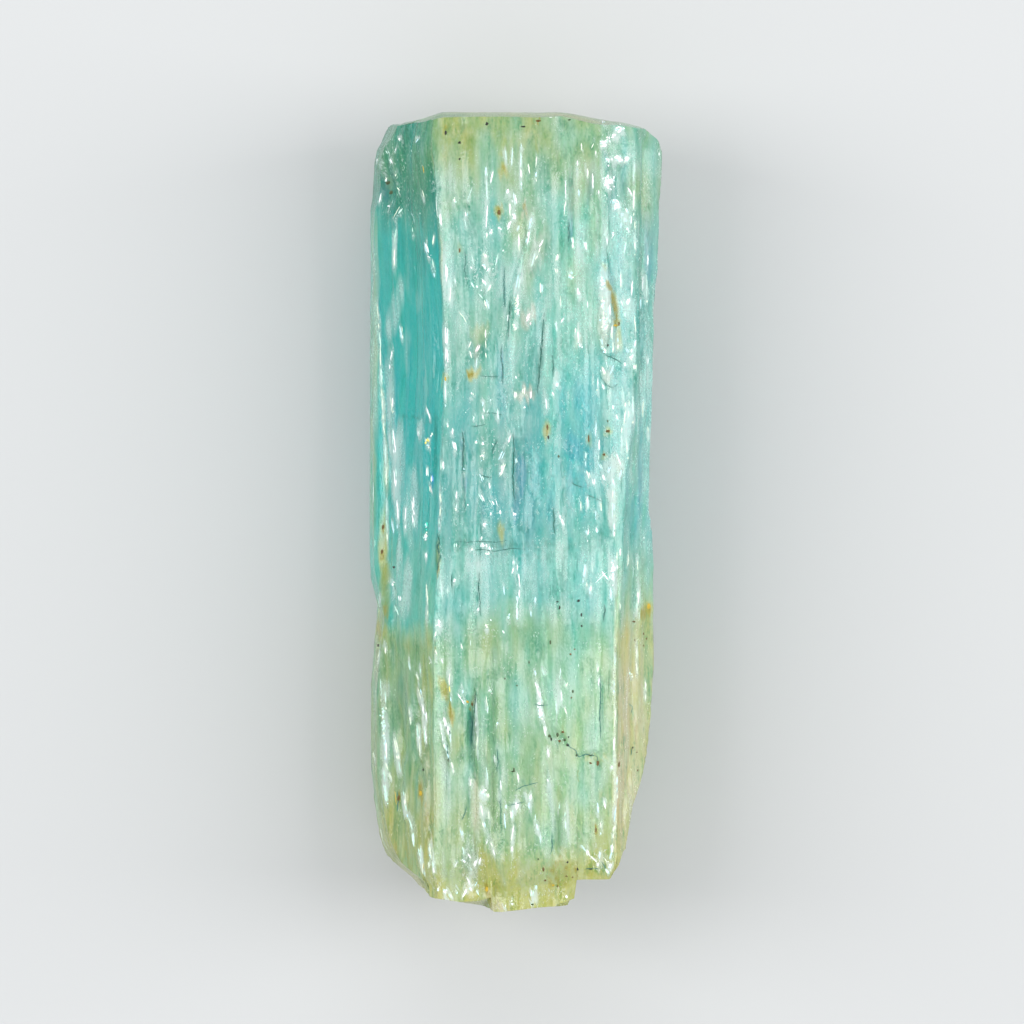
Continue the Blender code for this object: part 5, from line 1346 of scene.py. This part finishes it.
class Marks:
    """Points, faces and tints of many small marks that become one mesh."""

    def __init__(self, tree, seed):
        """Start with no marks, a tree for rays and random draws of their own."""
        self.tree = tree
        self.rng = np.random.default_rng(seed)
        self.points = []
        self.faces = []
        self.tints = []

    def add(self, points, faces, tint):
        """Take in one mark, unless part of it lies beside the crystal or far below the rest."""
        if any(point is None for point in points):
            return
        heights = [point.z for point in points]
        if max(heights) - min(heights) > MARK_FALL:
            return
        first = len(self.points)
        self.points.extend(points)
        self.faces.extend(tuple(first + index for index in face) for face in faces)
        self.tints.extend([(*display(*TINTS[tint]), 1.0)] * len(points))

    def ribbon(self, path, width, tint, lift, ragged):
        """A thin ridge along a path of pixels, pointed at both ends, with ragged sides."""
        path = np.asarray(path, dtype=float)
        steps = np.linalg.norm(np.diff(path, axis=0), axis=1)
        run = np.concatenate(([0.0], np.cumsum(steps)))
        count = max(3, int(run[-1] / STROKE_STEP))
        stops = np.linspace(0, run[-1], count + 1)
        middles = np.stack([np.interp(stops, run, path[:, axis]) for axis in (0, 1)], axis=1)
        middles[1:-1] += self.rng.uniform(-ragged, ragged, (count - 1, 2)) * (1.0, 0.3)
        ahead = np.gradient(middles, axis=0)
        beside = np.stack((ahead[:, 1], -ahead[:, 0]), axis=1)
        beside /= np.linalg.norm(beside, axis=1)[:, None]
        share = np.linspace(-1.0, 1.0, count + 1)
        half = 0.5 * width * np.sqrt(1.0 - share ** 2) * self.rng.uniform(0.65, 1.15, count + 1)
        left = middles + beside * half[:, None]
        right = middles - beside * half[:, None]
        points = []
        for one, middle, other, rise in zip(left, middles, right, half):
            points.append(on_skin(self.tree, *one, MARK_LIFT))
            points.append(on_skin(self.tree, *middle, MARK_LIFT + lift * rise * PHOTO_SCALE))
            points.append(on_skin(self.tree, *other, MARK_LIFT))
        faces = []
        for low in range(0, 3 * count, 3):
            faces.append((low, low + 1, low + 4, low + 3))
            faces.append((low + 1, low + 2, low + 5, low + 4))
        self.add(points, faces, tint)

    def pick(self, tint, chance):
        """The tint itself or, by chance, one of the softer ones."""
        return str(self.rng.choice(SOFT_TINTS)) if self.rng.random() < chance else tint

    def bundle(self, column, row, half_length, width, lean, tint):
        """A pale mark made of thin strands side by side, longest in the middle, broken once or twice."""
        strands = max(1, round(width / STRAND_GAP))
        for strand in range(strands):
            side = 2.0 * (strand + self.rng.uniform(0.2, 0.8)) / strands - 1.0
            side *= 0.5 if strands == 1 else 1.0
            reach = half_length * math.sqrt(1.0 - 0.85 * side * side) * self.rng.uniform(0.75, 1.1)
            along = -reach
            while along < reach - 1.0:
                run = min(self.rng.uniform(*STRAND_RUN), reach - along)
                slant = self.rng.uniform(-0.05, 0.05) * run
                path = [
                    (column + 0.5 * side * width + lean * at + turn * slant, row + at)
                    for at, turn in ((along, -1.0), (along + run, 1.0))
                ]
                self.ribbon(path, STRAND_WIDTH * self.rng.uniform(0.6, 1.3), self.pick(tint, 0.45), 0.5, 0.25)
                along += run + self.rng.uniform(0.5, 4.0)

    def cluster(self, column, row, half_length, width, lean, tint):
        """A frosted spot of painted glints: many small crumbs, closest together in the middle."""
        for _ in range(int(CRUMBS * half_length * width)):
            across, along = self.rng.normal(0.0, 0.42, 2)
            at = along * half_length
            size = self.rng.uniform(0.35, 1.0)
            place = (column + lean * at + across * width * 0.5, row + at)
            self.grain(*place, size, size * self.rng.uniform(0.8, 1.8), self.pick(tint, 0.3))

    def grain(self, column, row, half_width, half_length, tint):
        """A low grain with an uneven outline."""
        angles = np.linspace(0.0, 2.0 * math.pi, GRAIN_CORNERS, endpoint=False)
        reach = self.rng.uniform(0.6, 1.25, GRAIN_CORNERS)
        across = column + half_width * reach * np.cos(angles)
        along = row - half_length * reach * np.sin(angles)
        points = [on_skin(self.tree, x, y, MARK_LIFT) for x, y in zip(across, along)]
        points.append(on_skin(self.tree, column, row, MARK_LIFT + 0.5 * half_width * PHOTO_SCALE))
        faces = [(index, (index + 1) % GRAIN_CORNERS, GRAIN_CORNERS) for index in range(GRAIN_CORNERS)]
        self.add(points, faces, tint)

    def piece(self, context, name, material):
        """Make the mesh and its object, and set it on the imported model."""
        mesh = bpy.data.meshes.new(name)
        mesh.from_pydata([tuple(point * MM) for point in self.points], [], self.faces)
        mesh.attributes.new("tint", "FLOAT_COLOR", "POINT").data.foreach_set("color", np.ravel(self.tints))
        mesh.materials.append(material)
        return set_piece(context, name, mesh)


class CRYSTAL_OT_skin(bpy.types.Operator):
    """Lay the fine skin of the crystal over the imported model"""

    bl_idname = "crystal.skin"
    bl_label = "Crystal skin"

    def execute(self, context):
        mesh = skin_mesh(context.scene.crystal_skin)
        mesh.materials.append(crystal_material(context.scene.crystal_colours))
        piece = set_piece(context, "crystal_skin", mesh)
        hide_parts(NODE)
        return {"FINISHED"}


class CRYSTAL_OT_strokes(bpy.types.Operator):
    """Lay the crisp pale marks on the skin: edges of healed cracks, and painted highlights on frosted spots,
    edges, ridge crests and lit growth lines
    """

    bl_idname = "crystal.strokes"
    bl_label = "Pale marks"

    def execute(self, context):
        marks = Marks(seen_tree(), context.scene.crystal_details.seed)
        for column, row, half_length, width, lean, tint in strokes():
            frosted = width > half_length or width >= WIDEST_BUNDLE
            make = marks.cluster if frosted else marks.bundle
            make(column, row, half_length, width, lean, tint)
        marks.piece(context, "pale_marks", mark_material("frost_and_glint_marks", 0.15))
        return {"FINISHED"}


class CRYSTAL_OT_cracks(bpy.types.Operator):
    """Lay dark ribbons of painted shade in the open cracks that reach the skin"""

    bl_idname = "crystal.cracks"
    bl_label = "Open cracks"

    def execute(self, context):
        marks = Marks(seen_tree(), context.scene.crystal_details.seed + 1)
        for path, width in CRACKS:
            marks.ribbon(path, CRACK_WIDTH * width, "crack", 0.05, 0.5)
        marks.piece(context, "crack_shade_ribbons", mark_material("crack_shade", 0.40))
        return {"FINISHED"}


class CRYSTAL_OT_grains(bpy.types.Operator):
    """Set the dark and rusty grains"""

    bl_idname = "crystal.grains"
    bl_label = "Grains"

    def execute(self, context):
        marks = Marks(seen_tree(), context.scene.crystal_details.seed + 2)
        for column, row, half_width, half_length, tint in SPECKS:
            marks.grain(column, row, half_width, half_length, tint)
        marks.piece(context, "dark_grains", mark_material("iron_and_mica", 0.45))
        return {"FINISHED"}


def scatter_tree(name, mask, material):
    """Geometry nodes that scatter long flakes on a skin, as thick as the square of one of its masks."""
    tree = bpy.data.node_groups.new(name, "GeometryNodeTree")
    tree.interface.new_socket("Skin", in_out="INPUT", socket_type="NodeSocketGeometry")
    for label in ("Density", "Width", "Stretch", "Thickness", "Depth", "Lean"):
        tree.interface.new_socket(label, in_out="INPUT", socket_type="NodeSocketFloat")
    tree.interface.new_socket("Seed", in_out="INPUT", socket_type="NodeSocketInt")
    tree.interface.new_socket("Flakes", in_out="OUTPUT", socket_type="NodeSocketGeometry")
    given = tree.nodes.new("NodeGroupInput").outputs
    result = tree.nodes.new("NodeGroupOutput")

    def chance(number, low=0.0, high=1.0):
        inputs = {2: low, 3: high, 8: maths(tree, "ADD", given["Seed"], float(number))}
        return add_node(tree, "FunctionNodeRandomValue", inputs, data_type="FLOAT").outputs[1]

    amount = add_node(tree, "GeometryNodeInputNamedAttribute", {"Name": mask}, data_type="FLOAT").outputs[0]
    density = maths(tree, "MULTIPLY", maths(tree, "POWER", amount, 2.0), given["Density"])
    places = {"Mesh": given["Skin"], "Density": density, "Seed": given["Seed"]}
    spread = add_node(tree, "GeometryNodeDistributePointsOnFaces", places)
    lean = maths(tree, "MULTIPLY", chance(1, -1.0, 1.0), given["Lean"])
    along = add_node(tree, "ShaderNodeCombineXYZ", {"X": lean, "Y": 1.0, "Z": 0.0}).outputs[0]
    turn = {"Rotation": spread.outputs["Rotation"], "Vector": along}
    turned = add_node(tree, "FunctionNodeAlignRotationToVector", turn, axis="Y", pivot_axis="Z").outputs[0]
    sunk = maths(tree, "MULTIPLY", maths(tree, "POWER", chance(2), 2.0), given["Depth"])
    inward = {0: spread.outputs["Normal"], "Scale": maths(tree, "MULTIPLY", sunk, -1.0)}
    inward = add_node(tree, "ShaderNodeVectorMath", inward, operation="SCALE").outputs[0]
    moved = {"Geometry": spread.outputs["Points"], "Offset": inward}
    moved = add_node(tree, "GeometryNodeSetPosition", moved).outputs[0]
    size = maths(tree, "MULTIPLY_ADD", maths(tree, "POWER", chance(3), 3.0), 1.3, 0.6)
    wide = maths(tree, "MULTIPLY", size, given["Width"])
    long = maths(tree, "MULTIPLY", wide, maths(tree, "MULTIPLY", given["Stretch"], chance(4, 0.4, 1.4)))
    thick = maths(tree, "MULTIPLY", wide, given["Thickness"])
    scale = add_node(tree, "ShaderNodeCombineXYZ", {"X": wide, "Y": long, "Z": thick}).outputs[0]
    flake = add_node(tree, "GeometryNodeMeshIcoSphere", {"Radius": 1.0, "Subdivisions": 1}).outputs[0]
    placed = {"Points": moved, "Instance": flake, "Rotation": turned, "Scale": scale}
    placed = add_node(tree, "GeometryNodeInstanceOnPoints", placed).outputs[0]
    stored = {"Geometry": placed, "Name": "glow", "Value": chance(5)}
    kept = {"data_type": "FLOAT", "domain": "INSTANCE"}
    stored = add_node(tree, "GeometryNodeStoreNamedAttribute", stored, **kept).outputs[0]
    real = add_node(tree, "GeometryNodeRealizeInstances", {"Geometry": stored}).outputs[0]
    dressed = add_node(tree, "GeometryNodeSetMaterial", {"Geometry": real, "Material": material}).outputs[0]
    tree.links.new(dressed, result.inputs[0])
    return tree


def grow(context, name, tree, values):
    """Run a scatter tree on the skin and keep the result as a plain mesh."""
    base = bpy.data.objects.new(name, bpy.data.objects["crystal_skin"].data)
    context.collection.objects.link(base)
    modifier = base.modifiers.new("grow", "NODES")
    modifier.node_group = tree
    for item in tree.interface.items_tree:
        if item.in_out == "INPUT" and item.name in values:
            modifier[item.identifier] = values[item.name]
    evaluated = base.evaluated_get(context.evaluated_depsgraph_get())
    mesh = bpy.data.meshes.new_from_object(evaluated)
    mesh.name = name
    base.modifiers.remove(modifier)
    bpy.data.objects.remove(base)
    return set_piece(context, name, mesh)


def flake_material(name, first, second, gloss):
    """Opaque flakes that each have their own shade between two colours."""
    material, tree, shader = new_material(name)
    glow = add_node(tree, "ShaderNodeAttribute", attribute_name="glow").outputs["Fac"]
    base = mix_colour(tree, glow, (*display(*first), 1.0), (*display(*second), 1.0))
    tree.links.new(base, shader.inputs["Base Color"])
    rough = maths(tree, "MULTIPLY_ADD", glow, FLAKE_ROUGHNESS, gloss)
    tree.links.new(rough, shader.inputs["Roughness"])
    return material


class CRYSTAL_OT_glints(bpy.types.Operator):
    """Scatter small white flakes that are painted glints of broken and healed skin"""

    bl_idname = "crystal.glints"
    bl_label = "Glints"

    def execute(self, context):
        details = context.scene.crystal_details
        material = flake_material("glint", (255, 255, 255), (232, 250, 238), 0.10)
        tree = scatter_tree("crystal_glints", "frost_and_glints", material)
        grow(context, "glints", tree, {
            "Density": details.glint_density,
            "Width": details.glint_width,
            "Stretch": 1.9,
            "Thickness": 0.35,
            "Depth": 0.02 * MM,
            "Lean": 0.9,
            "Seed": details.seed,
        })
        return {"FINISHED"}


class CRYSTAL_OT_needles(bpy.types.Operator):
    """Scatter the growth tubes and needles that lie in the skin and just under it"""

    bl_idname = "crystal.needles"
    bl_label = "Needles"

    def execute(self, context):
        details = context.scene.crystal_details
        material = flake_material("needle", (250, 255, 250), (206, 240, 228), 0.15)
        tree = scatter_tree("crystal_needles", "dash", material)
        grow(context, "needles", tree, {
            "Density": details.needle_density,
            "Width": details.needle_width,
            "Stretch": 11.0,
            "Thickness": 0.8,
            "Depth": 0.30 * MM,
            "Lean": 0.06,
            "Seed": details.seed + NEEDLE_SEED,
        })
        return {"FINISHED"}


def soft_box(context, name, place, size, power):
    """A large soft light at a place, turned towards the crystal."""
    light = bpy.data.lights.new(name, "AREA")
    light.shape = "RECTANGLE"
    light.size, light.size_y = size
    light.energy = power
    lamp = bpy.data.objects.new(name, light)
    lamp.location = place
    lamp.rotation_euler = (Vector(LIGHT_TARGET) - Vector(place)).to_track_quat("-Z", "Y").to_euler()
    lamp.visible_camera = False
    context.collection.objects.link(lamp)


class CRYSTAL_OT_stage(bpy.types.Operator):
    """Set the floor, the lights and the camera"""

    bl_idname = "crystal.stage"
    bl_label = "Stage"

    def execute(self, context):
        stage = context.scene.crystal_stage
        half = stage.floor_size / 2
        mesh = bpy.data.meshes.new("floor")
        corners = [(-half, -half), (half, -half), (half, half), (-half, half)]
        mesh.from_pydata([(x, y, -stage.floor_gap) for x, y in corners], [], [(0, 1, 2, 3)])
        material, _, shader = new_material("floor")
        shader.inputs["Base Color"].default_value = (*stage.floor_colour, 1.0)
        shader.inputs["Roughness"].default_value = FLOOR_ROUGHNESS
        mesh.materials.append(material)
        floor = bpy.data.objects.new("floor", mesh)
        context.collection.objects.link(floor)
        for name, place, size, share in LIGHTS:
            soft_box(context, name, place, size, share * stage.key_power)
        world = bpy.data.worlds.new("studio")
        world.use_nodes = True
        background = world.node_tree.nodes["Background"]
        background.inputs["Color"].default_value = SKY_COLOUR
        background.inputs["Strength"].default_value = stage.sky
        context.scene.world = world
        lens = bpy.data.cameras.new("camera")
        lens.lens = stage.lens
        lens.sensor_width = SENSOR_WIDTH
        lens.clip_start = NEAREST
        camera = bpy.data.objects.new("camera", lens)
        width = PHOTO_SIZE * PHOTO_SCALE * MM
        x = photo_x(PHOTO_SIZE / 2) * MM
        y = photo_y(PHOTO_SIZE / 2) * MM
        camera.location = (x, y, OUTLINE_HEIGHT + width * stage.lens / SENSOR_WIDTH)
        context.collection.objects.link(camera)
        context.scene.camera = camera
        context.scene.view_settings.view_transform = "Standard"
        return {"FINISHED"}


class CRYSTAL_PT_panel(bpy.types.Panel):
    """Buttons that build the crystal, and its sizes and colours"""

    bl_label = "Rough aquamarine"
    bl_idname = "CRYSTAL_PT_panel"
    bl_space_type = "VIEW_3D"
    bl_region_type = "UI"
    bl_category = "Crystal"

    def draw(self, context):
        for operator in OPERATORS:
            self.layout.operator(operator.bl_idname)
        for name, group in SETTINGS.items():
            box = self.layout.box()
            for key in group.__annotations__:
                box.prop(getattr(context.scene, name), key)


OPERATORS = (
    CRYSTAL_OT_stage, CRYSTAL_OT_skin, CRYSTAL_OT_strokes, CRYSTAL_OT_cracks, CRYSTAL_OT_grains,
    CRYSTAL_OT_glints, CRYSTAL_OT_needles,
)
SETTINGS = {
    "crystal_skin": SkinSettings, "crystal_colours": ColourSettings, "crystal_details": DetailSettings,
    "crystal_stage": StageSettings,
}


def register():
    """Make the settings, the operators and the panel known to Blender."""
    for item in (*SETTINGS.values(), *OPERATORS, CRYSTAL_PT_panel):
        bpy.utils.register_class(item)
    for name, group in SETTINGS.items():
        setattr(bpy.types.Scene, name, PointerProperty(type=group))


def unregister():
    """Take them out again."""
    for name in SETTINGS:
        delattr(bpy.types.Scene, name)
    for item in (CRYSTAL_PT_panel, *OPERATORS, *SETTINGS.values()):
        bpy.utils.unregister_class(item)


def main():
    """Build the stage and every piece."""
    register()
    for operator in OPERATORS:
        getattr(bpy.ops.crystal, operator.bl_idname.split(".")[1])()


if __name__ == "__main__":
    main()
